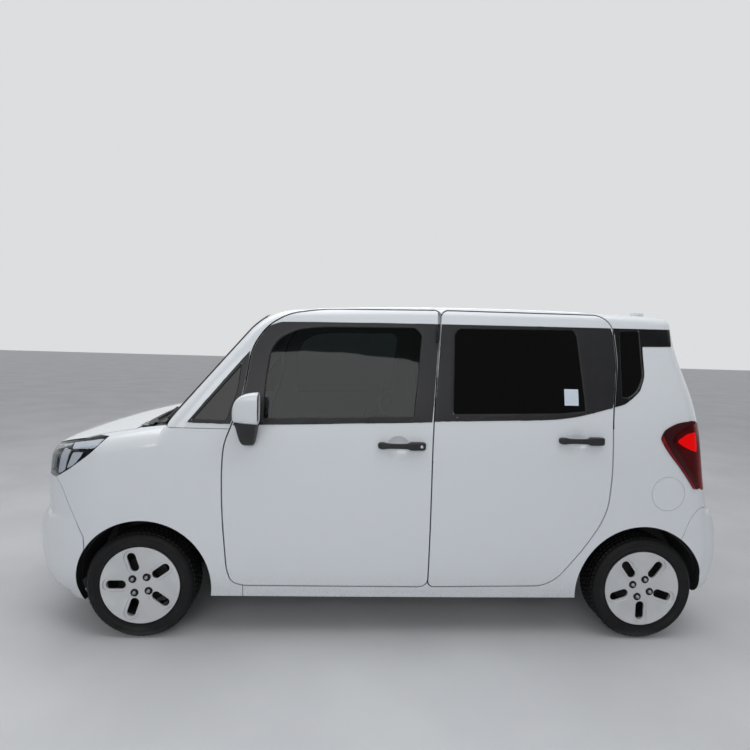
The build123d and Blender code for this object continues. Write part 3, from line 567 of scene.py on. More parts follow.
def place_lights():
    for name, at, aim, width, depth, watts in SOFTBOXES:
        data = bpy.data.lights.new(name, "AREA")
        data.shape = "RECTANGLE"
        data.size = width
        data.size_y = depth
        data.energy = watts
        lamp = bpy.data.objects.new(name, data)
        lamp.location = at
        lamp.rotation_euler = (Vector(aim) - Vector(at)).to_track_quat("-Z", "Y").to_euler()
        bpy.context.scene.collection.objects.link(lamp)


def place_world():
    world = bpy.data.worlds.new("hall")
    bpy.context.scene.world = world
    world.use_nodes = True
    hall = Graph(world.node_tree)
    path = hall.add("ShaderNodeLightPath")
    way = hall.add("ShaderNodeSeparateXYZ", None, [hall.add("ShaderNodeTexCoord")["Generated"]])["Y"]
    darker = path["Is Glossy Ray"] * way.step(-0.1, 0.5) * 0.72
    seen = path["Is Camera Ray"] + path["Is Glossy Ray"] + path["Is Transmission Ray"]
    tree = world.node_tree
    dim = tree.nodes["Background"]
    dim.inputs["Color"].default_value = (0.86, 0.88, 0.92, 1.0)
    dim.inputs["Strength"].default_value = 0.42
    values = {"Color": (0.80, 0.81, 0.82), "Strength": 0.9 - darker}
    bright = hall.add("ShaderNodeBackground", None, values)["Background"]
    both = hall.add("ShaderNodeMixShader", None, [seen, Wire(hall, dim.outputs[0]), bright])["Shader"]
    tree.links.new(both.socket, tree.nodes["World Output"].inputs["Surface"])


def place_floor():
    floor = Finish("pale_floor", "paint", {})
    tone = floor.mix(floor.noise(1.3, 5.0).step(0.3, 0.7), (0.60, 0.61, 0.625), (0.67, 0.68, 0.69))
    floor.feed({"Base Color": tone, "Roughness": floor.noise(6.0, 4.0) * 0.2 + 0.4})
    shape = bmesh.new()
    bmesh.ops.create_grid(shape, x_segments=8, y_segments=8, size=FLOOR_HALF)
    ground = held(mesh_of("floor", shape), "ground")
    ground.data.materials.append(floor.material)


place_lights()
place_world()
place_floor()
bpy.context.scene.view_settings.view_transform = "Standard"
print("lights:", len(SOFTBOXES))

# %% [markdown]
# A tyre is a turned profile: bead, wall with rings, shoulder, and a carcass that is a little under the tread.
# The tread blocks repeat round it, so Geometry Nodes make them: a block is laid on each of the points of a
# circle, one circle for each rib, and every second rib is turned by half a block.

# %% Tyres
TYRE_LOW, TYRE_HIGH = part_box("front_left_tyre")
TYRE_R = (TYRE_HIGH.z - TYRE_LOW.z) / 2
TYRE_HALF = (TYRE_HIGH.y - TYRE_LOW.y) / 2
TREAD_DEEP = 0.0055
# Blocks are flat, so they sit lower than the tyre's round by this much, and their roots go into the carcass.
SINK, ROOT = 0.0013, 0.001
RIM_R = 0.1785
RIBS = (
    # offset across the tread, width, half-block shift
    (-0.050, 0.021, 0.0),
    (-0.025, 0.021, 0.5),
    (0.0, 0.020, 0.25),
    (0.025, 0.021, 0.75),
    (0.050, 0.021, 0.0),
)
# Blocks in a rib, and the share of its round that they fill.
BLOCKS, BLOCK_SHARE = 66, 0.80


def tyre_profile():
    """Half of the section, from the bead to the middle, then mirrored."""
    carcass = TYRE_R - TREAD_DEEP
    half = [
        (RIM_R, 0.052), (RIM_R + 0.001, 0.061), (0.186, 0.0655), (0.1945, 0.0685), (0.1965, 0.0715),
        (0.1995, 0.0722), (0.2015, 0.0705), (0.212, 0.0765), (0.2205, 0.0805), (0.2215, 0.0815),
        (0.2235, 0.0818), (0.2245, 0.0812), (0.2325, TYRE_HALF - 0.0004), (0.2405, 0.0812), (0.2415, 0.0820),
        (0.2435, 0.0812), (0.2455, 0.0785), (0.2505, 0.0752), (0.2545, 0.0690), (carcass, 0.0610),
        (carcass, 0.0),
    ]
    return half + [(r, -y) for r, y in reversed(half[:-1])]


def make_tread_tree():
    shape = Shape("tread_ribs", {
        "Radius": ("NodeSocketFloat", TYRE_R), "Count": ("NodeSocketInt", BLOCKS),
        "Depth": ("NodeSocketFloat", TREAD_DEEP), "Finish": ("NodeSocketMaterial", None),
    })
    radius, count, depth = shape.given["Radius"], shape.given["Count"], shape.given["Depth"]
    whole = shape.add("GeometryNodeJoinGeometry")
    for offset, width, shift in RIBS:
        values = {"Resolution": 128, "Radius": radius - depth / 2 - SINK}
        ring = shape.add("GeometryNodeCurvePrimitiveCircle", None, values)
        turn = shape.add("GeometryNodeTransform", None, {
            "Geometry": ring["Curve"], "Translation": (0, offset, 0),
            "Rotation": (math.pi / 2, shift * 2 * math.pi / BLOCKS, 0),
        })
        values = {"Curve": turn["Geometry"], "Count": count}
        points = shape.add("GeometryNodeCurveToPoints", {"mode": "COUNT"}, values)
        length = radius * (2 * math.pi * BLOCK_SHARE / BLOCKS)
        size = shape.add("ShaderNodeCombineXYZ", None, [length, width, depth + 2 * ROOT])["Vector"]
        values = {"Size": size, "Vertices X": 3, "Vertices Y": 2, "Vertices Z": 2}
        lump = shape.add("GeometryNodeMeshCube", None, values)
        values = {"Points": points["Points"], "Instance": lump["Mesh"]}
        laid = shape.add("GeometryNodeInstanceOnPoints", None, values)
        angle = shape.add("ShaderNodeMath", {"operation": "ARCTAN2"}, None)
        place = shape.add("GeometryNodeInputPosition")["Position"]
        split = shape.add("ShaderNodeSeparateXYZ", None, [place])
        shape.join(angle.node.inputs[0], split["X"])
        shape.join(angle.node.inputs[1], split["Z"])
        turned_by = shape.add("ShaderNodeCombineXYZ", None, [0.0, angle["Value"], 0.0])["Vector"]
        shape.join(laid.node.inputs["Rotation"], turned_by)
        shape.tree.links.new(laid["Instances"].socket, whole.node.inputs[0])
    shape.end_real(whole["Geometry"])
    return shape


def moved(mesh, at, turn=0.0, side=1):
    """A mesh made about the origin, turned about the axle, flipped for the right side and put in place."""
    mesh.transform(Matrix.Rotation(turn, 4, "Y"))
    if side < 0:
        mesh = flipped(mesh, mesh.name)
    mesh.transform(Matrix.Translation(at))
    return mesh


TREAD = make_tread_tree()
WHEELS = ("front_left", "front_right", "rear_left", "rear_right")


def wheel_place(wheel):
    low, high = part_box(wheel + "_tyre")
    return (low + high) / 2, 1 if high.y > 0 else -1


for wheel in WHEELS:
    at, side = wheel_place(wheel)
    tread = grown(TREAD, "tread", None, {"Finish": RUBBER.material})
    tyre = joined([turned("carcass", tyre_profile()), tread], wheel + "_tread_tyre")
    piece(wheel + "_tread_tyre", moved(tyre, at, 0.0, side), wheel, RUBBER, [wheel + "_tyre"])
print("tyres, faces each:", len(made["front_left_tread_tyre"].data.polygons))

# %% [markdown]
# Four domed nuts hold each wheel. Each sits in a near-black cup, which is painted shade of the nut's hole.
# They repeat on a circle, so one nut is put on the points of a four-point circle. The nuts of the front and
# rear wheels are turned as the wheels stand.

# %% Wheel nuts and hub
NUT_CIRCLE, NUTS = 0.0485, 4
HUB_FACE = 0.0662
NUT_TURN = {"front": math.radians(-37), "rear": math.radians(-22)}


def nut_mesh():
    """Hexagonal nut with a domed end, in a turned cup that is painted shade of its hole."""
    cup = [
        (0.0, -0.002), (0.0195, -0.002), (0.0195, 0.0014), (0.0183, 0.0022), (0.0172, 0.0012), (0.0165, 0.0006),
        (0.0, 0.0006),
    ]
    shape = bmesh.new()
    bmesh.ops.create_cone(shape, cap_ends=True, segments=6, radius1=0.0108, radius2=0.0094, depth=0.012)
    bmesh.ops.bevel(shape, geom=shape.edges[:], offset=0.001, segments=2, affect="EDGES")
    bmesh.ops.transform(shape, matrix=Matrix.Rotation(-math.pi / 2, 4, "X"), verts=shape.verts)
    bmesh.ops.translate(shape, vec=(0, 0.003, 0), verts=shape.verts)
    dome = bmesh.new()
    bmesh.ops.create_uvsphere(dome, u_segments=12, v_segments=8, radius=0.0075)
    bmesh.ops.translate(dome, vec=(0, 0.0065, 0), verts=dome.verts)
    return turned("cup", cup, 24), joined([mesh_of("hexagon", shape), mesh_of("dome", dome)], "nut")


def make_ring_tree():
    """Copies of the start mesh on a circle about the Y axis."""
    shape = Shape("ring_of_copies", {
        "Radius": ("NodeSocketFloat", NUT_CIRCLE), "Count": ("NodeSocketInt", NUTS),
        "Finish": ("NodeSocketMaterial", None),
    })
    values = {"Vertices": shape.given["Count"], "Radius": shape.given["Radius"]}
    ring = shape.add("GeometryNodeMeshCircle", None, values)
    values = {"Geometry": ring["Mesh"], "Rotation": (math.pi / 2, 0, 0)}
    turn = shape.add("GeometryNodeTransform", None, values)
    values = {"Points": turn["Geometry"], "Instance": shape.given["Geometry"]}
    laid = shape.add("GeometryNodeInstanceOnPoints", None, values)
    shape.end_real(laid["Instances"])
    return shape


RING = make_ring_tree()
for wheel in WHEELS:
    at, side = wheel_place(wheel)
    face = at + Vector((0, side * HUB_FACE, 0))
    turn = NUT_TURN[wheel.split("_")[0]]
    # The cups are near black: painted shade of the holes that the nuts sit in.
    for part, start, finish in zip(("nut_shade_cups", "nuts"), nut_mesh(), (SMOOTH_BLACK, DULL_CHROME)):
        mesh = grown(RING, part, start, {"Finish": finish.material})
        piece(f"{wheel}_{part}", moved(mesh, face, turn, side), wheel, finish)
print("nuts:", NUTS * len(WHEELS))

# %% [markdown]
# Behind each wheel a pressed shield closes the view through the slots. A front shield is cut off above the
# lower arm, over which it swings. In front of each front wheel a black plate closes the arch's inner side:
# partly the arch liner, and partly painted shade where the floor under the car would show.

# %% Wheel shields, and black plates of liner and painted shade
SHIELD = [
    (0.034, -0.024), (0.120, -0.024), (0.126, -0.028), (0.150, -0.028), (0.154, -0.023), (0.156, -0.023),
    (0.156, -0.0255), (0.151, -0.031), (0.125, -0.031), (0.119, -0.027), (0.034, -0.027),
]
SHIELD_CUT = -0.086
LINER_AND_SHADE_LOW, LINER_AND_SHADE_HIGH = (1.400, 0.470, 0.095), (1.680, 0.474, 0.460)


def cut_below(mesh, z):
    """The part of a closed mesh above a height, closed again."""
    shape = bmesh.new()
    shape.from_mesh(mesh)
    everything = shape.verts[:] + shape.edges[:] + shape.faces[:]
    down = (0, 0, -1)
    bmesh.ops.bisect_plane(shape, geom=everything, plane_co=(0, 0, z), plane_no=down, clear_outer=True)
    bmesh.ops.holes_fill(shape, edges=[e for e in shape.edges if e.is_boundary])
    return mesh_of(mesh.name, shape)


for wheel in WHEELS:
    at, side = wheel_place(wheel)
    shield, carrier = turned("shield", SHIELD, 96), "body"
    if wheel.startswith("front"):
        shield, carrier = cut_below(shield, SHIELD_CUT), wheel.replace("front", "knuckle")
    piece(f"{wheel}_shield", moved(shield, at, 0.0, side), carrier, DARK_STEEL)
# A black plate in front of each front wheel: arch liner, and painted shade under the car.
liner_and_shade = softened(block(LINER_AND_SHADE_LOW, LINER_AND_SHADE_HIGH), "liner_and_shade", 0.0012)
piece("liner_and_shade_plates", joined([liner_and_shade, flipped(liner_and_shade, "liner_and_shade")], "liner_and_shade_plates"), "body", PLASTIC)
print("shields:", len(WHEELS))

# %% [markdown]
# Every pane sits in a rubber seal. A seal follows the pane's edge, and the edge can be read from the solid
# itself: the faces that look outwards are kept, and their open edges form closed loops. A Geometry Nodes tree
# sweeps a round section along each loop.

# %% Loops round the panes, and a bead along them
def edge_loops(node, facing, cosine=0.55):
    """Closed loops round the faces of a node that look in one direction."""
    shape = bmesh.new()
    shape.from_mesh(nodes[node].data)
    bmesh.ops.remove_doubles(shape, verts=shape.verts, dist=2e-5)
    shape.normal_update()
    facing = Vector(facing).normalized()
    away = [f for f in shape.faces if f.normal.dot(facing) < cosine]
    bmesh.ops.delete(shape, geom=away, context="FACES")
    # A dictionary keeps the mesh's order, so each run starts its loops at the same edges.
    left = dict.fromkeys(e for e in shape.edges if e.is_boundary)
    loops = []
    while left:
        edge = next(iter(left))
        del left[edge]
        first, here = edge.verts
        loop = [first.co.copy()]
        while here != first:
            loop.append(here.co.copy())
            following = [e for e in here.link_edges if e in left]
            if not following:
                break
            del left[following[0]]
            here = following[0].other_vert(here)
        loops.append(loop)
    shape.free()
    longest = max(len(loop) for loop in loops)
    return [loop for loop in loops if len(loop) > longest * 0.2]


def line_curve(lines, cyclic=True):
    """Poly curves through lists of points."""
    curve = bpy.data.curves.new("line", "CURVE")
    curve.dimensions = "3D"
    for line in lines:
        spline = curve.splines.new("POLY")
        spline.points.add(len(line) - 1)
        for point, co in zip(spline.points, line):
            point.co = (*co, 1.0)
        spline.use_cyclic_u = cyclic
    return curve


BEAD_SIDES = 10


def make_bead_tree():
    shape = Shape("bead_along_a_line", {
        "Radius": ("NodeSocketFloat", 0.005), "Spacing": ("NodeSocketFloat", 0.012),
        "Finish": ("NodeSocketMaterial", None),
    })
    even = shape.add("GeometryNodeResampleCurve", {"mode": "LENGTH"}, {
        "Curve": shape.given["Geometry"], "Length": shape.given["Spacing"],
    })
    values = {"Resolution": BEAD_SIDES, "Radius": shape.given["Radius"]}
    section = shape.add("GeometryNodeCurvePrimitiveCircle", None, values)
    swept = shape.add("GeometryNodeCurveToMesh", None, {
        "Curve": even["Curve"], "Profile Curve": section["Curve"], "Fill Caps": True,
    })
    shape.end_real(swept["Mesh"])
    return shape


BEAD = make_bead_tree()


def bead(name, lines, radius, body, finish, cyclic=True, spacing=0.012):
    start = line_curve(lines, cyclic)
    values = {"Radius": radius, "Spacing": spacing, "Finish": finish.material}
    return piece(name, grown(BEAD, name, start, values), body, finish)


SIDES = (("left", 1), ("right", -1))
for side_name, side in SIDES:
    for end in ("front", "rear"):
        loops = edge_loops(f"{end}_glass_{side_name}", (0, side, 0))
        bead(f"{end}_glass_seal_{side_name}", loops, 0.006, f"{end}_door_{side_name}", SEAL)
    bead(f"side_glass_seal_{side_name}", edge_loops("side_glass", (0, side, 0)), 0.006, "body", SEAL)
bead("windscreen_seal", edge_loops("windscreen", (0.75, 0, 0.66)), 0.006, "body", SEAL)
bead("rear_glass_seal", edge_loops("tailgate_glass", (-1, 0, 0.2)), 0.006, "tailgate", SEAL)
print("seals made")

# %% [markdown]
# A dark band joins the side windows. On the real car it is film and plastic over the painted frames, so here
# it is a thin sheet that lies on the skin. Its outline is drawn in side view and filled with even triangles.
# Each corner then goes straight in along a ray until it meets the panel. Windows are left as holes.

# %% Outlines, and sheets that lie on a panel
def skin_of(*names):
    """The faces of some nodes, for rays to meet."""
    shape = bmesh.new()
    for name in names:
        shape.from_mesh(nodes[name].data)
    tree = BVHTree.FromBMesh(shape)
    shape.free()
    return tree


def eased(corners, steps=5):
    """Points of an outline: each corner (a, b, share) curves over a share of its shorter side."""
    line = []
    for i, (a, b, share) in enumerate(corners):
        here = Vector((a, b))
        before = Vector(corners[i - 1][:2])
        after = Vector(corners[(i + 1) % len(corners)][:2])
        reach = share * min((before - here).length, (after - here).length)
        if not reach:
            line.append(here)
            continue
        first = here + (before - here).normalized() * reach
        last = here + (after - here).normalized() * reach
        for k in range(steps + 1):
            t = k / steps
            line.append(first * (1 - t) ** 2 + here * (2 * t * (1 - t)) + last * t**2)
    return line


def within(point, line):
    """A point lies inside a closed line if an odd number of its edges pass beside the point."""
    odd = False
    for a, b in zip([line[-1], *line], line):
        if (a.y > point.y) != (b.y > point.y):
            if point.x < a.x + (b.x - a.x) * (point.y - a.y) / (b.y - a.y):
                odd = not odd
    return odd


def filled(line, holes, spacing):
    """Points and triangles inside a line and outside the holes."""
    points, edges = [], []
    for loop in (line, *holes):
        start = len(points)
        for a, b in zip(loop, [*loop[1:], loop[0]]):
            parts = max(1, round((b - a).length / spacing))
            points.extend(a.lerp(b, k / parts) for k in range(parts))
        count = len(points) - start
        edges.extend((start + k, start + (k + 1) % count) for k in range(count))
    rim = len(points)
    low = Vector((min(p.x for p in line), min(p.y for p in line)))
    high = Vector((max(p.x for p in line), max(p.y for p in line)))
    for i in range(int((high.x - low.x) / spacing)):
        for k in range(int((high.y - low.y) / spacing)):
            point = low + Vector((i + 0.5, k + 0.5)) * spacing
            if within(point, line) and min((point - p).length for p in points[:rim]) > spacing * 0.45:
                points.append(point)
    points, _, faces, *_ = delaunay_2d_cdt(points, edges, [], 0, 1e-7)
    kept = []
    for face in faces:
        middle = sum((points[i] for i in face), Vector((0, 0))) / len(face)
        if within(middle, line) and not any(within(middle, hole) for hole in holes):
            kept.append(face)
    return points, kept


def landing(tree, ray, p, near=0.003):
    """A point's ray, and how far it goes to the outermost face near it, so that edges are not missed."""
    start, way = ray(p)
    runs = []
    for step in ((0, 0), (near, 0), (-near, 0), (0, near), (0, -near)):
        first, along = ray(p + Vector(step))
        hit = tree.ray_cast(first, along)[0]
        if hit:
            runs.append((hit - first).dot(along))
    if not runs:
        runs.append((tree.find_nearest(start)[0] - start).dot(way))
    return start, way, min(runs)


def from_side(side):
    """Rays that go straight in from one side of the car."""
    return lambda p: (Vector((p.x, side * 1.2, p.y)), Vector((0, -side, 0)))


def laid(corners, tree, ray, lift=0.0, thick=0.0018, holes=(), spacing=0.014):
    """A sheet of one thickness, whose back lies on the faces of a tree or is lifted off them."""
    points, faces = filled(eased(corners), [eased(hole) for hole in holes], spacing)
    shape = bmesh.new()
    ways = []
    for p in points:
        start, way, run = landing(tree, ray, p)
        shape.verts.new(start + way * (run - lift))
        ways.append(way)
    shape.verts.ensure_lookup_table()
    shape.verts.index_update()
    for face in faces:
        shape.faces.new([shape.verts[i] for i in face])
    shape.normal_update()
    if sum(f.normal.dot(ways[f.verts[0].index]) for f in shape.faces) > 0:
        bmesh.ops.reverse_faces(shape, faces=shape.faces)
    bmesh.ops.delete(shape, geom=[v for v in shape.verts if not v.link_faces], context="VERTS")
    return thickened(mesh_of("sheet", shape), thick)


def thickened(mesh, thick, outward=1.0):
    """A sheet with a wall, smooth but for its rim."""
    holder = held(mesh)
    wall = holder.modifiers.new("wall", "SOLIDIFY")
    wall.thickness = thick
    wall.offset = outward
    SMOOTHER.attach(holder, {"Corner Angle": math.radians(50)})
    return baked(holder, "sheet")


print("sheet helpers ready")

# %% [markdown]
# The band's outline follows the edges of the doors, a millimetre or two inside them, so that the shut lines
# stay open. One table holds the four parts of the band, each with its window, in side view. The parts of the
# right side are the same sheets, mirrored.

# %% Dark band between the windows
FRONT_WINDOW = (
    (0.579, 1.077, 0.1), (0.577, 1.254, 0.3), (0.558, 1.430, 0.4), (0.520, 1.490, 0.45), (0.430, 1.540, 0.45),
    (0.300, 1.556, 0.3), (-0.165, 1.565, 0.1), (-0.205, 1.530, 0.4), (-0.181, 1.273, 0.3), (-0.163, 1.102, 0.1),
)
REAR_WINDOW = (
    (-0.352, 1.120, 0.1), (-0.362, 1.530, 0.1), (-0.385, 1.568, 0.4), (-0.985, 1.578, 0.05),
    (-1.004, 1.545, 0.4), (-1.032, 1.170, 0.05), (-1.028, 1.150, 0.3),
)
QUARTER_WINDOW = (
    (-1.214, 1.238, 0.15), (-1.224, 1.580, 0.1), (-1.335, 1.585, 0.15), (-1.337, 1.340, 0.4),
    (-1.303, 1.268, 0.45), (-1.252, 1.232, 0.4),
)
CORNER_WINDOW = ((0.922, 1.080, 0.06), (0.690, 1.366, 0.08), (0.699, 1.240, 0.2), (0.748, 1.080, 0.1))
FRONT_BAND = (
    (0.7185, 1.063, 0), (0.669, 1.215, 0.4), (0.643, 1.440, 0.4), (0.574, 1.5485, 0.35), (0.510, 1.572, 0.2),
    (0.352, 1.576, 0.2), (-0.2895, 1.584, 0), (-0.252, 1.098, 0),
)
REAR_BAND = (
    (-0.2625, 1.102, 0), (-0.3, 1.584, 0), (-1.180, 1.590, 0), (-1.1895, 1.555, 0.3), (-1.197, 1.420, 0.4),
    (-1.1775, 1.262, 0.3), (-1.167, 1.188, 0), (-1.119, 1.174, 0.3), (-0.991, 1.140, 0.4), (-0.864, 1.122, 0.4),
    (-0.589, 1.112, 0.3),
)
QUARTER_BAND = (
    (-1.178, 1.191, 0), (-1.1865, 1.262, 0.3), (-1.2075, 1.420, 0.4), (-1.200, 1.555, 0.3), (-1.192, 1.590, 0),
    (-1.504, 1.592, 0), (-1.502, 1.503, 0.1), (-1.343, 1.499, 0.05), (-1.3425, 1.345, 0.4),
    (-1.314, 1.275, 0.4), (-1.288, 1.250, 0.3), (-1.232, 1.206, 0.3),
)
CORNER_BAND = (
    (0.732, 1.068, 0), (0.6795, 1.215, 0.4), (0.6605, 1.360, 0.3), (0.655, 1.424, 0), (0.690, 1.384, 0.2),
    (0.940, 1.071, 0.05),
)
BANDS = (
    # name, node that carries it, body, outline, window, finish
    ("front_band", "front_door_left", "front_door", FRONT_BAND, FRONT_WINDOW, SATIN),
    ("rear_band", "rear_door_left", "rear_door", REAR_BAND, REAR_WINDOW, SATIN),
    ("quarter_band", "side_frames", "body", QUARTER_BAND, QUARTER_WINDOW, SMOOTH_BLACK),
    ("corner_band", "side_frames", "body", CORNER_BAND, CORNER_WINDOW, SATIN),
)


def on_both_sides(name, mesh, body, finish, smooth=True):
    """A piece of the left side and its mirror image. A door's piece rides on its own door."""
    for side_name, side in SIDES:
        rider = f"{body}_{side_name}" if body.endswith("door") else body
        own = mesh.copy() if side > 0 else flipped(mesh, name)
        piece(f"{name}_{side_name}", own, rider, finish, (), smooth)


for name, node, body, corners, window, finish in BANDS:
    sheet = laid(corners, skin_of(node), from_side(1), -0.0003, 0.0018, [window])
    on_both_sides(name, sheet, body, finish)
print("bands:", len(BANDS) * 2)

# %% [markdown]
# Behind the shut line of a door a rubber tube on the body keeps water and light out. It follows the middle of
# the gap, a little inside the door's inner face, which rays from the cabin find.

# %% Door seals
FRONT_GAP = (
    (0.664, 0.228, 0.4), (-0.257, 0.228, 0.05), (-0.257, 1.095, 0.4), (-0.2995, 1.655, 0.06),
    (0.300, 1.6445, 0.4), (0.471, 1.6175, 0.45), (0.578, 1.552, 0.45), (0.6475, 1.440, 0.4), (0.6735, 1.215, 0.4),
    (0.725, 1.065, 0.45), (0.7605, 0.970, 0.45), (0.7665, 0.850, 0.45), (0.7625, 0.640, 0.45), (0.7405, 0.350, 0.45),
)
REAR_GAP = (
    (-0.257, 0.228, 0.05), (-0.257, 1.095, 0.4), (-0.2995, 1.6555, 0.06), (-1.1315, 1.6565, 0.45),
    (-1.191, 1.602, 0.45), (-1.2035, 1.420, 0.4), (-1.1685, 1.160, 0.4), (-1.1665, 0.840, 0.4),
    (-1.1535, 0.689, 0.45), (-1.119, 0.600, 0.45), (-1.049, 0.488, 0.45), (-0.918, 0.315, 0.45),
    (-0.842, 0.236, 0.45),
)
DOOR_SEALS = (
    # name, door, outline
    ("front_door_seal", "front_door_left", FRONT_GAP),
    ("rear_door_seal", "rear_door_left", REAR_GAP),
)
SEAL_BACK, SEAL_R, NOTCH_REACH = 0.015, 0.007, 0.030
# Rays start this far from the car's middle, and go outwards.
CABIN_Y, CABIN_NEAR_Y = 0.30, 0.60
OUTWARD = Vector((0, 1, 0))


def seal_line(door, corners):
    """Points behind a gap. Rays beside each point step over the hinge notches in the door's inner face."""
    inside = skin_of(door)
    steps = (-NOTCH_REACH, -NOTCH_REACH / 2, 0.0, NOTCH_REACH / 2, NOTCH_REACH)
    line = []
    for p in eased(corners, 8):
        starts = [Vector((p.x + a, CABIN_Y, p.y + b)) for a in steps for b in steps]
        hits = [inside.ray_cast(start, OUTWARD)[0] for start in starts]
        hits = [hit for hit in hits if hit] or [inside.find_nearest(Vector((p.x, CABIN_NEAR_Y, p.y)))[0]]
        line.append(Vector((p.x, min(hit.y for hit in hits) - SEAL_BACK, p.y)))
    return line


for name, door, corners in DOOR_SEALS:
    line = seal_line(door, corners)
    for side_name, side in SIDES:
        bead(f"{name}_{side_name}", [[Vector((p.x, side * p.y, p.z)) for p in line]], SEAL_R, "body", SEAL)
print("door seals:", len(DOOR_SEALS) * 2)

# %% [markdown]
# In the dark band the walls of the gaps are black too: partly black film that wraps the edges, and partly
# painted shade of the narrow, deep gaps. Thin strips line them: on each side of a gap a strip goes from the
# skin inwards. On the doors' front edges small covers in the body's paint close the hinge notches.

# %% Edge strips of film and painted shade, and hinge covers
EDGE_LOW, EDGE_HIGH, EDGE_SIDE, EDGE_DEEP, EDGE_STRIP_THICK = 1.068, 1.580, 0.0031, 0.044, 0.0005
GAPS = (
    # name, outline, which end of the door it is, node and body before it, node and body behind it
    ("pillar_gap", FRONT_GAP, 1, ("side_frames", "body"), ("front_door_left", "front_door")),
    ("middle_gap", FRONT_GAP, -1, ("front_door_left", "front_door"), ("rear_door_left", "rear_door")),
    ("quarter_gap", REAR_GAP, -1, ("rear_door_left", "rear_door"), ("side_frames", "body")),
)
HINGE_COVERS = (
    # door, rear x, front x and height of each
    ("front_door", 0.7160, ((0.7490, 0.560), (0.7585, 0.880))),
    ("rear_door", -0.2960, ((-0.2630, 0.560), (-0.2630, 0.880))),
)
# A wide spacing leaves a cover flat between its corners, so that it spans the notch.
COVER_HALF, COVER_THICK, COVER_SPACING = 0.0235, 0.0009, 0.2


def film_and_shade_strip(line, skin, shift):
    """A strip from the skin inwards, along a line of the side view that is moved ahead by a shift."""
    shape = bmesh.new()
    rows = []
    for p in line:
        start, way, run = landing(skin, from_side(1), p + Vector((shift * 2, 0)), 0.004)
        top = start + way * run - Vector((shift, 0, 0))
        rows.append([shape.verts.new(top + way * deep) for deep in (0.0005, EDGE_DEEP)])
    for one, two in zip(rows, rows[1:]):
        shape.faces.new((one[0], two[0], two[1], one[1]))
    return thickened(mesh_of("film_and_shade_sheet", shape), EDGE_STRIP_THICK, 0.0)


# Black strips in the gaps: wrapped film, and painted shade of the deep gaps.
for name, outline, end, *sides in GAPS:
    middle = sum(corner[0] for corner in outline) / len(outline)
    line = [p for p in eased(outline, 8) if EDGE_LOW < p.y < EDGE_HIGH and (p.x - middle) * end > 0]
    for (node, body), shift in zip(sides, (EDGE_SIDE, -EDGE_SIDE)):
        on_both_sides(f"{name}_{node}", film_and_shade_strip(line, skin_of(node), shift), body, SATIN)
for door, behind, places in HINGE_COVERS:
    covers = []
    for ahead, z in places:
        ends = ((ahead, 1), (behind, 1), (behind, -1), (ahead, -1))
        outline = [(x, z + up * COVER_HALF, 0) for x, up in ends]
        covers.append(laid(outline, skin_of(f"{door}_left"), from_side(1), 0.0, COVER_THICK, (), COVER_SPACING))
    on_both_sides(f"{door}_hinge_cover", joined(covers, "covers"), door, PAINT)
print("tapes:", len(GAPS) * 4)

# %% [markdown]
# At the foot of each door window a black moulding wipes the glass as it goes down. The pane lies 6 mm under
# the skin, so the moulding is a thicker sheet that is laid on the pane. A blank pale sticker lies on the rear
# pane of the left side.

# %% Belt mouldings and sticker
BELTS = (
    # name, pane, body, outline
    ("front_belt", "front_glass_left", "front_door", (
        (0.576, 1.0785, 0), (0.576, 1.098, 0.1), (-0.164, 1.122, 0.1), (-0.1625, 1.1035, 0))),
    ("rear_belt", "rear_glass_left", "rear_door", (
        (-0.354, 1.1225, 0), (-0.354, 1.139, 0.1), (-0.900, 1.154, 0.2), (-1.029, 1.168, 0.1), (-1.0265, 1.1525, 0))),
)
BELT_THICK = 0.0065
STICKER = ((-0.921, 1.194, 0.04), (-0.921, 1.275, 0.04), (-0.993, 1.275, 0.04), (-0.993, 1.194, 0.04))

for name, pane, body, corners in BELTS:
    on_both_sides(name, laid(corners, skin_of(pane), from_side(1), 0.0, BELT_THICK), body, PLASTIC)
STICKER_FILM = grained("blank_pale_film", "paint", (0.62, 0.70, 0.78), 0.5, 90.0, 0.00002, 0.04)
sticker = laid(STICKER, skin_of("rear_glass_left"), from_side(1), 0.0002, 0.0003)
piece("blank_sticker", sticker, "rear_door_left", STICKER_FILM)
print("belts and sticker laid")

# %% [markdown]
# A pull handle is a bar whose section changes along it: a block at each end stands on the door, and between
# them a thinner grip clears the dish for the fingers. Such a shape is lofted: a rounded ring is placed at
# each station of a table, and faces join each ring to the next.

# %% Door handles
def ring(middle, first, second, power=0.45, count=20):
    """A rounded rectangle about a point; first and second are its half axes."""
    points = []
    for i in range(count):
        a = 2 * math.pi * i / count
        u, v = math.cos(a), math.sin(a)
        u = math.copysign(abs(u) ** power, u)
        v = math.copysign(abs(v) ** power, v)
        points.append(Vector(middle) + Vector(first) * u + Vector(second) * v)
    return points


def lofted(name, rings, levels=1):
    """Rings joined in order, closed at both ends and subdivided."""
    shape = bmesh.new()
    rows = [[shape.verts.new(p) for p in row] for row in rings]
    for one, two in zip(rows, rows[1:]):
        for i in range(len(one)):
            k = (i + 1) % len(one)
            shape.faces.new((one[i], one[k], two[k], two[i]))
    for row in (rows[0], rows[-1]):
        middle = shape.verts.new(sum((v.co for v in row), Vector()) / len(row))
        for i in range(len(row)):
            shape.faces.new((row[i], row[(i + 1) % len(row)], middle))
    bmesh.ops.recalc_face_normals(shape, faces=shape.faces)
    return softened(mesh_of(name, shape), name, levels=levels)


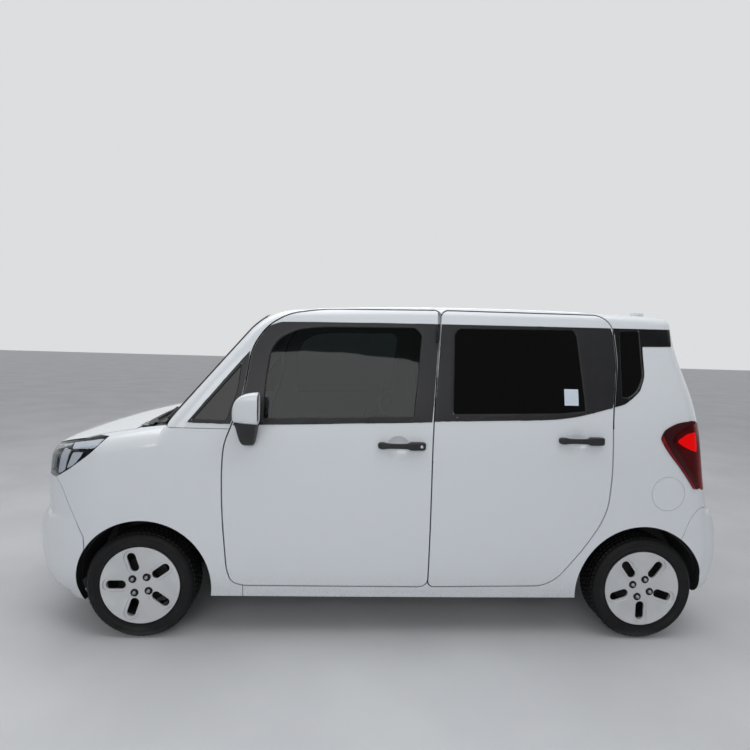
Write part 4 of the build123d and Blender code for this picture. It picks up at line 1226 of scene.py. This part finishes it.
HANDLE_STATIONS = (
    # share of the length from the front, middle above the skin, half depth, half height
    (0.000, 0.0100, 0.0050, 0.0060),
    (0.012, 0.0115, 0.0110, 0.0125),
    (0.050, 0.0130, 0.0140, 0.0165),
    (0.120, 0.0150, 0.0150, 0.0172),
    (0.165, 0.0190, 0.0100, 0.0150),
    (0.220, 0.0225, 0.0068, 0.0128),
    (0.400, 0.0245, 0.0062, 0.0122),
    (0.580, 0.0240, 0.0065, 0.0126),
    (0.640, 0.0210, 0.0100, 0.0150),
    (0.665, 0.0160, 0.0165, 0.0195),
    (0.700, 0.0150, 0.0175, 0.0205),
    (0.930, 0.0145, 0.0170, 0.0205),
    (0.985, 0.0130, 0.0135, 0.0185),
    (1.000, 0.0100, 0.0060, 0.0120),
)
HANDLES = (
    # end, front x, rear x, height
    ("front", 0.014, -0.221, 0.983),
    ("rear", -0.885, -1.115, 1.023),
)
LOCK_X, LOCK_OUT = -0.199, 0.0315
LOCK_PROFILE = [(0.0, 0.0012), (0.004, 0.0012), (0.0048, 0.0), (0.0072, 0.0), (0.0072, -0.004), (0.0, -0.004)]


def handle_mesh(end, front, rear, z):
    """The handle of a left door, standing on the door's skin beside the dish."""
    door = skin_of(f"{end}_door_left")
    out = [door.ray_cast(Vector((x, 1.2, z)), Vector((0, -1, 0)))[0].y for x in (front, rear)]
    rows = []
    for share, rise, half_depth, half_height in HANDLE_STATIONS:
        x = front + (rear - front) * share
        y = out[0] + (out[1] - out[0]) * share + rise
        rows.append(ring((x, y, z), (0, half_depth, 0), (0, 0, half_height)))
    return lofted("handle", rows), out


for end, front, rear, z in HANDLES:
    mesh, out = handle_mesh(end, front, rear, z)
    on_both_sides(f"{end}_handle", mesh, f"{end}_door", PLASTIC)
    if end == "front":
        lock = turned("lock", LOCK_PROFILE, 28, False)
        lock.transform(Matrix.Translation((LOCK_X, out[1] + LOCK_OUT, z)))
        on_both_sides("front_lock", lock, "front_door", BRIGHT)
print("handles:", len(HANDLES) * 2)

# %% [markdown]
# A door mirror is a white cap on a black foot, with a plate of mirror glass in a black frame that faces back.
# The cap is lofted from front to back and the foot from bottom to top, both from tables of ring sizes.

# %% Door mirrors
CAP_STATIONS = (
    # x, low z, high z, inner y, outer y
    (0.6930, 1.122, 1.142, 0.842, 0.862),
    (0.6905, 1.112, 1.156, 0.833, 0.876),
    (0.6830, 1.104, 1.182, 0.827, 0.888),
    (0.6690, 1.099, 1.206, 0.823, 0.896),
    (0.6450, 1.096, 1.223, 0.822, 0.901),
    (0.6150, 1.094, 1.232, 0.822, 0.904),
    (0.5850, 1.094, 1.236, 0.822, 0.905),
    (0.5710, 1.094, 1.236, 0.822, 0.905),
    (0.5680, 1.098, 1.232, 0.826, 0.901),
    (0.5740, 1.104, 1.226, 0.831, 0.896),
)
FOOT_STATIONS = (
    # z, rear x, front x, inner y, outer y
    (0.997, 0.606, 0.650, 0.776, 0.806),
    (1.003, 0.598, 0.660, 0.772, 0.822),
    (1.020, 0.592, 0.667, 0.770, 0.842),
    (1.050, 0.585, 0.674, 0.768, 0.862),
    (1.080, 0.578, 0.679, 0.768, 0.880),
    (1.092, 0.574, 0.682, 0.780, 0.892),
    (1.101, 0.574, 0.682, 0.820, 0.896),
)


MIRROR_AHEAD, CAP_LOWER, FOOT_LOWER = 0.010, 0.010, 0.016
FOOT_TOP, FOOT_HIGH = 1.101, 0.104


def cap_mesh():
    rows = []
    for x, z0, z1, y0, y1 in CAP_STATIONS:
        x, z0 = x + MIRROR_AHEAD, z0 - CAP_LOWER
        middle = (x, (y0 + y1) / 2, (z0 + z1) / 2)
        rows.append(ring(middle, (0, (y1 - y0) / 2, 0), (0, 0, (z1 - z0) / 2), 0.55))
    return lofted("cap", rows)


def foot_mesh():
    rows = []
    for z, x0, x1, y0, y1 in FOOT_STATIONS:
        share = (FOOT_TOP - z) / FOOT_HIGH
        x0, x1, z = x0 + MIRROR_AHEAD, x1 + MIRROR_AHEAD, z - FOOT_LOWER * share - CAP_LOWER
        middle = ((x0 + x1) / 2, (y0 + y1) / 2, z)
        rows.append(ring(middle, ((x1 - x0) / 2, 0, 0), (0, (y1 - y0) / 2, 0), 0.5))
    return lofted("foot", rows)


def glass_mesh():
    rows = [
        ring((x + MIRROR_AHEAD, 0.8635, 1.160), (0, 0.030 * grow, 0), (0, 0, 0.063 * grow), 0.5)
        for x, grow in ((0.577, 1.0), (0.5735, 1.0), (0.5725, 0.97))
    ]
    return lofted("mirror_glass", rows, 0)


for side_name, side in SIDES:
    for name, mesh, finish in (
        ("cap", cap_mesh(), PAINT), ("foot", foot_mesh(), PLASTIC), ("glass", glass_mesh(), BRIGHT),
    ):
        mesh = mesh if side > 0 else flipped(mesh, name)
        stands_for = [f"mirror_{side_name}"] if name == "cap" else ()
        piece(f"mirror_{name}_{side_name}", mesh, f"front_door_{side_name}", finish, stands_for)
print("mirrors made")

# %% [markdown]
# A lamp is a thin clear lens over a dark housing with bright parts in it. The solid lamp is one thick piece,
# so its outer faces are copied to make the lens: from one face that a ray meets, all faces that join it
# without a sharp edge are gathered. The housing and its parts are sheets under the lens. A lamp wraps round
# the corner of the car, so their outlines are drawn by the angle about an upright line inside the corner.

# %% Lens shells and wrapped sheets
def outer_faces(node, start, way, sharp=0.6):
    """The faces of a node that join the one where a ray lands without a sharp edge."""
    shape = bmesh.new()
    shape.from_mesh(nodes[node].data)
    bmesh.ops.remove_doubles(shape, verts=shape.verts, dist=2e-5)
    shape.normal_update()
    shape.faces.ensure_lookup_table()
    first = BVHTree.FromBMesh(shape).ray_cast(Vector(start), Vector(way))[2]
    seen, waiting = {first}, [shape.faces[first]]
    while waiting:
        for edge in waiting.pop().edges:
            if len(edge.link_faces) == 2 and edge.calc_face_angle() < sharp:
                for face in edge.link_faces:
                    if face.index not in seen:
                        seen.add(face.index)
                        waiting.append(face)
    bmesh.ops.delete(shape, geom=[f for f in shape.faces if f.index not in seen], context="FACES")
    return shape


def lens_wall(node, start, way, thick=0.003):
    """A lamp's clear cover: its outer faces, as a wall of one thickness."""
    return thickened(mesh_of("lens", outer_faces(node, start, way)), thick, -1.0)


def tub(node, start, way, deep, lip=0.0035):
    """A lamp's housing: its outer faces moved in, with a wall from their edge up to the back of the cover."""
    shape = outer_faces(node, start, way)
    ways = {}
    for v in shape.verts:
        v.co -= v.normal * lip
        ways[tuple(v.co)] = v.normal.copy()
    front = shape.faces[:]
    floor = bmesh.ops.extrude_face_region(shape, geom=front)["geom"]
    for v in floor:
        if isinstance(v, bmesh.types.BMVert):
            v.co -= ways[tuple(v.co)] * (deep - lip)
    bmesh.ops.delete(shape, geom=[f for f in front if f.is_valid], context="FACES")
    return thickened(mesh_of("tub", shape), 0.0015, -1.0)


WRAP_R = 0.42


class Corner:
    """An upright line inside a corner of the car, about which a lamp wraps. Its sheets lie under the lens."""

    def __init__(self, node, x, y, toward):
        self.tree = skin_of(node)
        self.x = x
        self.y = y
        self.toward = toward

    def flat(self, x, z, share):
        """The place of a point of the side view: how far round it is, and its height."""
        hit = self.tree.ray_cast(Vector((x, 1.2, z)), Vector((0, -1, 0)))[0]
        hit = hit or self.tree.find_nearest(Vector((x, 0.75, z)))[0]
        turn = math.atan2(self.toward * (x - self.x), hit.y - self.y)
        return (turn * WRAP_R, z, share)

    def ray(self, p):
        turn = p.x / WRAP_R
        way = Vector((self.toward * math.sin(turn), math.cos(turn), 0))
        return Vector((self.x, self.y, p.y)) + way * 0.9, -way

    def sheet(self, corners, deep, thick=0.002, holes=()):
        """A sheet under the lens. Its outline is given round the corner."""
        return laid(corners, self.tree, self.ray, -deep, thick, holes, 0.012)


print("lamp helpers ready")

# %% [markdown]
# The headlamp's housing is black. A pale bar runs along its top, and two slanted pale blades hang below it;
# nearer the nose sits the round projector. A black rim follows the edge of the lens.

# %% Headlamps
HEADLAMP_RAY = ("headlamps", (1.45, 1.2, 0.90), (0, -1, 0))
HEADLAMP_PARTS = (
    # depth under the lens, outline: distance round the corner, height, share of the rounding
    (0.010, ((0.262, 0.947, 0.1), (0.056, 0.975, 0.1), (0.096, 0.934, 0.15), (0.245, 0.920, 0.15))),
    (0.010, ((0.312, 0.919, 0.1), (0.254, 0.915, 0.1), (0.276, 0.818, 0.1), (0.324, 0.796, 0.2))),
    (0.012, ((0.232, 0.906, 0.1), (0.164, 0.911, 0.1), (0.204, 0.860, 0.15), (0.264, 0.824, 0.2))),
    (0.012, (
        (0.272, 0.944, 0.1), (0.400, 0.923, 0.3), (0.480, 0.902, 0.3), (0.560, 0.880, 0.3), (0.630, 0.863, 0.1),
        (0.630, 0.846, 0.1), (0.560, 0.861, 0.3), (0.480, 0.881, 0.3), (0.400, 0.901, 0.3), (0.285, 0.930, 0.1))),
)
HEADLAMP_DEEP = 0.022
EYE_AT, EYE_R, EYE_RING = (0.435, 0.836), 0.034, 0.006
REFLECTOR = grained("pale_reflector", "lamp", (0.74, 0.80, 0.88), 0.3, 260.0, 0.00001, 0.05)


def round_outline(middle, radius, count=20):
    angles = [2 * math.pi * i / count for i in range(count)]
    return [(middle[0] + radius * math.cos(a), middle[1] + radius * math.sin(a), 0.3) for a in angles]


def headlamp_meshes():
    """The pale parts, and the dark eye of the projector, under the lens of the left lamp."""
    corner = Corner("headlamps", 1.30, 0.42, 1)
    pale = [corner.sheet(outline, deep, 0.004) for deep, outline in HEADLAMP_PARTS]
    inner = [round_outline(EYE_AT, EYE_R)]
    pale.append(corner.sheet(round_outline(EYE_AT, EYE_R + EYE_RING), 0.012, 0.005, inner))
    return joined(pale, "bright_parts"), corner.sheet(round_outline(EYE_AT, EYE_R), 0.016, 0.004)


bright, eye = headlamp_meshes()
for name, left, finish in (
    ("headlamp_lens", lens_wall(*HEADLAMP_RAY), LENS),
    ("headlamp_housing", tub(*HEADLAMP_RAY, HEADLAMP_DEEP), SMOOTH_BLACK),
    ("headlamp_bars", bright, REFLECTOR), ("headlamp_eyes", eye, DARK_STEEL),
):
    both = joined([left, flipped(left, name)], name)
    piece(name, both, "body", finish, ["headlamps"] if name == "headlamp_lens" else ())
print("headlamps made")

# %% [markdown]
# The tail lamp has a red lens. Behind it are a dark red housing, a lit red field and a small round dark
# element at the front. The lit field gives off a little light of its own. A glossy red rim lies on the panel
# along the lamp's front and lower edge and makes it as wide as on the real car.

# %% Tail lamps
TAIL_LAMP_RAY = ("tail_lamps", (-1.53, 1.2, 1.03), (0, -1, 0))
LIT = ((-1.503, 1.026, 0.3), (-1.560, 1.066, 0.25), (-1.604, 1.074, 0.2), (-1.612, 1.010, 0.1),
       (-1.609, 0.973, 0.15), (-1.548, 0.996, 0.3))
ROUND_AT, ROUND_R, ROUND_POINTS = (-1.4800, 1.037), 0.022, 14
TAIL_LAMP_DEEP = 0.018
RIM = (
    (-1.413, 1.040, 0.25), (-1.432, 1.079, 0.3), (-1.466, 1.101, 0.4), (-1.500, 1.117, 0.4), (-1.545, 1.127, 0.3),
    (-1.600, 1.130, 0.1), (-1.600, 1.116, 0.0), (-1.560, 1.108, 0.3), (-1.524, 1.090, 0.4), (-1.490, 1.060, 0.4),
    (-1.468, 1.030, 0.3), (-1.521, 0.952, 0.3), (-1.571, 0.872, 0.3), (-1.622, 0.792, 0.0), (-1.590, 0.788, 0.2),
    (-1.550, 0.848, 0.3), (-1.511, 0.900, 0.3), (-1.473, 0.945, 0.3), (-1.435, 0.996, 0.3),
)
RIM_EDGE = (
    (-1.416, 1.040, 0.25), (-1.424, 1.055, 0.2), (-1.431, 1.040, 0.2), (-1.449, 1.000, 0.3), (-1.485, 0.946, 0.3),
    (-1.523, 0.898, 0.3), (-1.562, 0.844, 0.3), (-1.603, 0.788, 0.0), (-1.592, 0.790, 0.1), (-1.551, 0.8495, 0.3),
    (-1.512, 0.9015, 0.3), (-1.474, 0.9465, 0.3), (-1.437, 0.998, 0.3),
)
RIM_THICK, EDGE_THICK = 0.005, 0.0065


def make_lit_red():
    """Red plastic that glows a little, brighter in the middle of its cells."""
    red = Finish("lit_red", "lamp_red", {"Roughness": 0.25, "Emission Strength": 0.75})
    cells = red.noise(55.0, 2.0)
    red.feed({"Base Color": red.mix(cells, (0.62, 0.004, 0.010), (0.85, 0.010, 0.018))})
    red.feed({"Emission Color": red.mix(cells, (0.80, 0.0, 0.008), (1.0, 0.0, 0.012))})
    return red


LIT_RED = make_lit_red()
RIM_RED = grained("gloss_dark_rim", "lamp_red", (0.045, 0.002, 0.004), 0.12, 240.0, 0.000005, 0.15)
EDGE_RED = grained("gloss_red_edge", "lamp_red", (0.28, 0.005, 0.012), 0.2, 240.0, 0.000005, 0.15)
RED_LENS = make_glass("red_lens", "lamp_red", (0.86, 0.06, 0.08), (0.10, 0.002, 0.004), 0.2)


def tail_meshes():
    corner = Corner("tail_lamps", -1.30, 0.42, -1)
    field = [corner.flat(*c) for c in LIT]
    spot = [corner.flat(*c) for c in round_outline(ROUND_AT, ROUND_R, ROUND_POINTS)]
    return corner.sheet(field, 0.006, 0.003), corner.sheet(spot, 0.007, 0.004)


tail_lens, tail_housing = lens_wall(*TAIL_LAMP_RAY), tub(*TAIL_LAMP_RAY, TAIL_LAMP_DEEP)
tail_field, tail_spot = tail_meshes()
for name, left, finish in (
    ("tail_lens", tail_lens, RED_LENS), ("tail_housing", tail_housing, DARK_RED),
    ("tail_field", tail_field, LIT_RED), ("tail_spot", tail_spot, SMOOTH_BLACK),
):
    both = joined([left, flipped(left, name)], name)
    piece(name, both, "body", finish, ["tail_lamps"] if name == "tail_lens" else ())
beside_lamp = skin_of("side_frames", "tail_lamps")
for name, outline, thick, finish in (
    ("tail_rim", RIM, RIM_THICK, RIM_RED), ("tail_edge", RIM_EDGE, EDGE_THICK, EDGE_RED),
):
    on_both_sides(name, laid(outline, beside_lamp, from_side(1), 0.0, thick), "body", finish)
print("tail lamps made")

# %% [markdown]
# A wiper is an arm from a hub on the cowl to the middle of a blade, and the blade rests on the glass. The
# points of each line are dropped onto the glass by rays, so that the line follows its bow, and the same tree
# that made the seals sweeps a section along it.

# %% Wipers
# Each glass, the body that it rides on, and the way from outside onto it.
FRONT_SCREEN = ("windscreen", "body", Vector((-0.75, 0, -0.66)).normalized())
REAR_SCREEN = ("tailgate_glass", "tailgate", Vector((1, 0, 0)))
WIPERS = (
    # name, screen, line in X, Y, Z before it drops, height above the glass, radius
    ("left_blade", FRONT_SCREEN, ((1.262, 0.53, 1.187), (1.312, 0.00, 1.195)), 0.006, 0.0042),
    ("left_arm", FRONT_SCREEN, ((1.275, 0.56, 1.165), (1.291, 0.26, 1.192)), 0.015, 0.0052),
    ("right_blade", FRONT_SCREEN, ((1.310, -0.06, 1.195), (1.267, -0.51, 1.188)), 0.006, 0.0042),
    ("right_arm", FRONT_SCREEN, ((1.331, -0.02, 1.175), (1.293, -0.29, 1.192)), 0.015, 0.0052),
    ("rear_blade", REAR_SCREEN, ((-2, 0.28, 1.165), (-2, -0.16, 1.175)), 0.006, 0.0055),
    ("rear_arm", REAR_SCREEN, ((-2, -0.02, 1.140), (-2, 0.06, 1.166)), 0.016, 0.0065),
)
WIPER_SPACING = 0.03


def dropped(tree, first, last, way, above, count=14):
    """Points of a straight line, moved along a way until they are a little above a surface."""
    points = []
    for i in range(count + 1):
        start = Vector(first).lerp(Vector(last), i / count)
        hit = tree.ray_cast(start, way)[0] or tree.find_nearest(start)[0]
        points.append(hit - way * above)
    return points


for name, (glass, body, way), (first, last), above, radius in WIPERS:
    line = dropped(skin_of(glass), first, last, way, above)
    bead(f"wiper_{name}", [line], radius, body, PLASTIC, False, WIPER_SPACING)
print("wiper parts:", len(WIPERS))

# %% [markdown]
# Coil springs stand on the rear axle. A coil is a spiral curve with a round section, and Geometry Nodes has
# both: its height, radius and number of turns are inputs of the tree.

# %% Springs and tail pipe
def make_coil_tree():
    shape = Shape("coil_spring", {
        "Radius": ("NodeSocketFloat", 0.052), "Height": ("NodeSocketFloat", 0.2),
        "Turns": ("NodeSocketFloat", 5.0), "Wire": ("NodeSocketFloat", 0.0065),
        "Finish": ("NodeSocketMaterial", None),
    })
    radius = shape.given["Radius"]
    spiral = shape.add("GeometryNodeCurveSpiral", None, {
        "Resolution": 28, "Rotations": shape.given["Turns"], "Start Radius": radius, "End Radius": radius,
        "Height": shape.given["Height"],
    })
    values = {"Resolution": BEAD_SIDES, "Radius": shape.given["Wire"]}
    section = shape.add("GeometryNodeCurvePrimitiveCircle", None, values)
    values = {"Curve": spiral["Curve"], "Profile Curve": section["Curve"], "Fill Caps": True}
    shape.end_real(shape.add("GeometryNodeCurveToMesh", None, values)["Mesh"])
    return shape


COIL = make_coil_tree()
SPRING_AT, SPRING_TOP = Vector((-1.2925, 0.500, 0.322)), 0.532
TIP_AT, TIP_R = Vector((-1.700, -0.250, 0.190)), 0.024
TIP_LONG = 0.120

springs = []
for side_name, side in SIDES:
    coil = grown(COIL, "spring", None, {"Height": SPRING_TOP - SPRING_AT.z, "Finish": DARK_STEEL.material})
    coil.transform(Matrix.Translation(Vector((SPRING_AT.x, side * SPRING_AT.y, SPRING_AT.z))))
    springs.append(coil)
piece("rear_springs", joined(springs, "rear_springs"), "body", DARK_STEEL)
TIP_OUT, TIP_IN = TIP_R + 0.001, TIP_R - 0.002
TIP_PROFILE = [(TIP_R, 0.0), (TIP_OUT, 0.001), (TIP_OUT, TIP_LONG), (TIP_IN, TIP_LONG), (TIP_IN, 0.0)]
tip = turned("tip", TIP_PROFILE, 40)
tip.transform(Matrix.Rotation(-math.pi / 2, 4, "Z"))
tip.transform(Matrix.Translation(TIP_AT))
piece("tail_pipe", tip, "body", BRIGHT)
print("springs and tail pipe made")

# %% [markdown]
# A seat is foam under cloth. It starts as rounded blocks that are a little too small, which are remeshed to
# even faces. Then a cloth simulation with inner pressure blows the faces out and crowns them, with gravity
# off. A cap on how far each point may move keeps the seat inside its place, and channels are pressed in last.

# %% Seats
CLOTH_SCALE = 260.0


def make_cloth_finish():
    """A weave: two crossed waves lift the threads, and the colour darkens between them as painted shade."""
    weave = Finish("woven_cloth", "cloth", {"Roughness": 0.9, "Sheen Weight": 0.25})
    threads = []
    for axis in ("X", "Y", "Z"):
        threads.append((weave.split[axis] * (CLOTH_SCALE * 2 * math.pi)).wave())
    height = threads[0] * threads[1] + threads[1] * threads[2]
    cloud = weave.noise(12.0, 3.0)
    # Darker where the threads are low: painted shade between them. The cloud is a random tone.
    thread = weave.mix(height * 0.25 + cloud * 0.5, (0.018, 0.018, 0.020), (0.055, 0.055, 0.060))
    weave.feed({"Base Color": thread})
    weave.bump(height, 0.3, 0.0004)
    return weave


CLOTH = make_cloth_finish()
SHRINK, MOVE_CAP, FRAMES = 0.012, 0.020, 20
SEAT_BLOCKS = (
    # seat, part, low corner, high corner, tilt in degrees, tilt about X and Z, edge radius
    ("front_seat", "cushion", (0.085, 0.105, 0.392), (0.575, 0.585, 0.515), 0.0, (0, 0), 0.045),
    ("front_seat", "back", (0.050, 0.105, 0.490), (0.150, 0.585, 1.075), 14.0, (0.100, 0.52), 0.045),
    ("front_seat", "head", (0.070, 0.225, 1.105), (0.140, 0.465, 1.225), 14.0, (0.100, 0.52), 0.032),
    ("bench", "cushion", (-0.790, -0.565, 0.412), (-0.330, 0.565, 0.535), 0.0, (0, 0), 0.045),
    ("bench", "back", (-0.825, -0.565, 0.510), (-0.725, 0.565, 1.085), 12.0, (-0.775, 0.54), 0.045),
    ("bench", "heads", (-0.805, 0.200, 1.115), (-0.735, 0.440, 1.235), 12.0, (-0.775, 0.54), 0.032),
    ("bench", "heads", (-0.805, -0.440, 1.115), (-0.735, -0.200, 1.235), 12.0, (-0.775, 0.54), 0.032),
)


def seat_block(low, high, tilt, about, radius):
    low = Vector(low) + Vector((SHRINK,) * 3)
    high = Vector(high) - Vector((SHRINK,) * 3)
    mesh = softened(block(low, high), "block", radius, 0, 0.6, 4)
    if tilt:
        middle = Vector((about[0], 0, about[1]))
        turn = Matrix.Rotation(math.radians(-tilt), 4, "Y")
        mesh.transform(Matrix.Translation(middle) @ turn @ Matrix.Translation(-middle))
    return mesh


def blown(mesh, voxel, name):
    """The mesh remeshed, blown up as cloth and capped."""
    holder = held(mesh)
    remesh = holder.modifiers.new("even", "REMESH")
    remesh.mode = "VOXEL"
    remesh.voxel_size = voxel
    start = baked(holder, name)
    holder = held(start.copy())
    cloth = holder.modifiers.new("cloth", "CLOTH")
    cloth.settings.use_pressure = True
    cloth.settings.uniform_pressure_force = 4.0
    cloth.settings.quality = 4
    cloth.settings.effector_weights.gravity = 0.0
    cloth.collision_settings.use_collision = False
    cloth.point_cache.frame_start = 1
    cloth.point_cache.frame_end = FRAMES
    for frame_number in range(1, FRAMES + 1):
        bpy.context.scene.frame_set(frame_number)
    done = baked(holder, name)
    bpy.context.scene.frame_set(1)
    for vertex, old in zip(done.vertices, start.vertices):
        move = vertex.co - old.co
        if move.length > MOVE_CAP:
            vertex.co = old.co + move.normalized() * MOVE_CAP
    return done


def channelled(mesh, lines, depth=0.007, width=0.009):
    """Sewn channels: points near a plane across the seat sink in."""
    for vertex, normal in zip(mesh.vertices, [n.vector.copy() for n in mesh.vertex_normals]):
        for y in lines:
            near = (vertex.co.y - y) / width
            vertex.co -= normal * depth * math.exp(-near * near)
    return mesh


def seat_mesh(seat, voxel, channels):
    blown_parts = []
    for part in {row[1]: None for row in SEAT_BLOCKS if row[0] == seat}:
        blocks = [seat_block(*row[2:]) for row in SEAT_BLOCKS if row[:2] == (seat, part)]
        mesh = blown(joined(blocks, part), voxel, part)
        blown_parts.append(channelled(mesh, channels) if not part.startswith("head") else mesh)
    return softened(joined(blown_parts, seat), seat, levels=1)


front = seat_mesh("front_seat", 0.010, (0.215, 0.475))
pair_of_seats = joined([front, flipped(front, "right_seat")], "front_seat_pads")
piece("front_seat_pads", pair_of_seats, "body", CLOTH, ["front_seats"])
bench = seat_mesh("bench", 0.012, (-0.19, 0.19))
piece("bench_pads", bench, "body", CLOTH, ["rear_bench"])
print("seat faces:", len(pair_of_seats.polygons), len(bench.polygons))

# %% [markdown]
# The pads stand on plinths with runners, and thin rods carry the head rests. These are rigid, so they are
# rounded blocks and rods of trim and steel.

# %% Seat frames
def bar(first, last, radius, count=16):
    """A round rod between two points."""
    first, last = Vector(first), Vector(last)
    along = (last - first).normalized()
    side = along.orthogonal().normalized()
    other = along.cross(side)
    return lofted("bar", [ring(p, side * radius, other * radius, 1.0, count) for p in (first, last)], 0)


def front_frame():
    parts = [softened(block((0.150, 0.165, 0.250), (0.490, 0.525, 0.395)), "plinth", 0.012)]
    for y in (0.185, 0.505):
        parts.append(softened(block((0.100, y - 0.018, 0.236), (0.540, y + 0.018, 0.262)), "runner", 0.004))
    return joined(parts, "frame")


def head_rods(x, z, high, ys, tilt):
    lean = Vector((-math.sin(math.radians(tilt)), 0, math.cos(math.radians(tilt))))
    foot = Vector((x, 0, z))
    return [bar(foot + Vector((0, y, 0)), foot + Vector((0, y, 0)) + lean * high, 0.0055) for y in ys]


frame_left = front_frame()
piece("seat_plinths", joined([frame_left, flipped(frame_left, "frame")], "plinths"), "body", TRIM)
bench_base = softened(block((-0.760, -0.520, 0.236), (-0.380, 0.520, 0.430)), "bench_base", 0.015)
piece("bench_base", bench_base, "body", TRIM)
rods = head_rods(-0.030, 1.040, 0.10, (0.285, 0.405), 14)
rods = rods + [flipped(rod, "rod") for rod in rods]
rods = rods + head_rods(-0.880, 1.040, 0.10, (-0.38, -0.26, 0.26, 0.38), 12)
piece("head_rods", joined(rods, "head_rods"), "body", BRIGHT)
print("seat frames made")
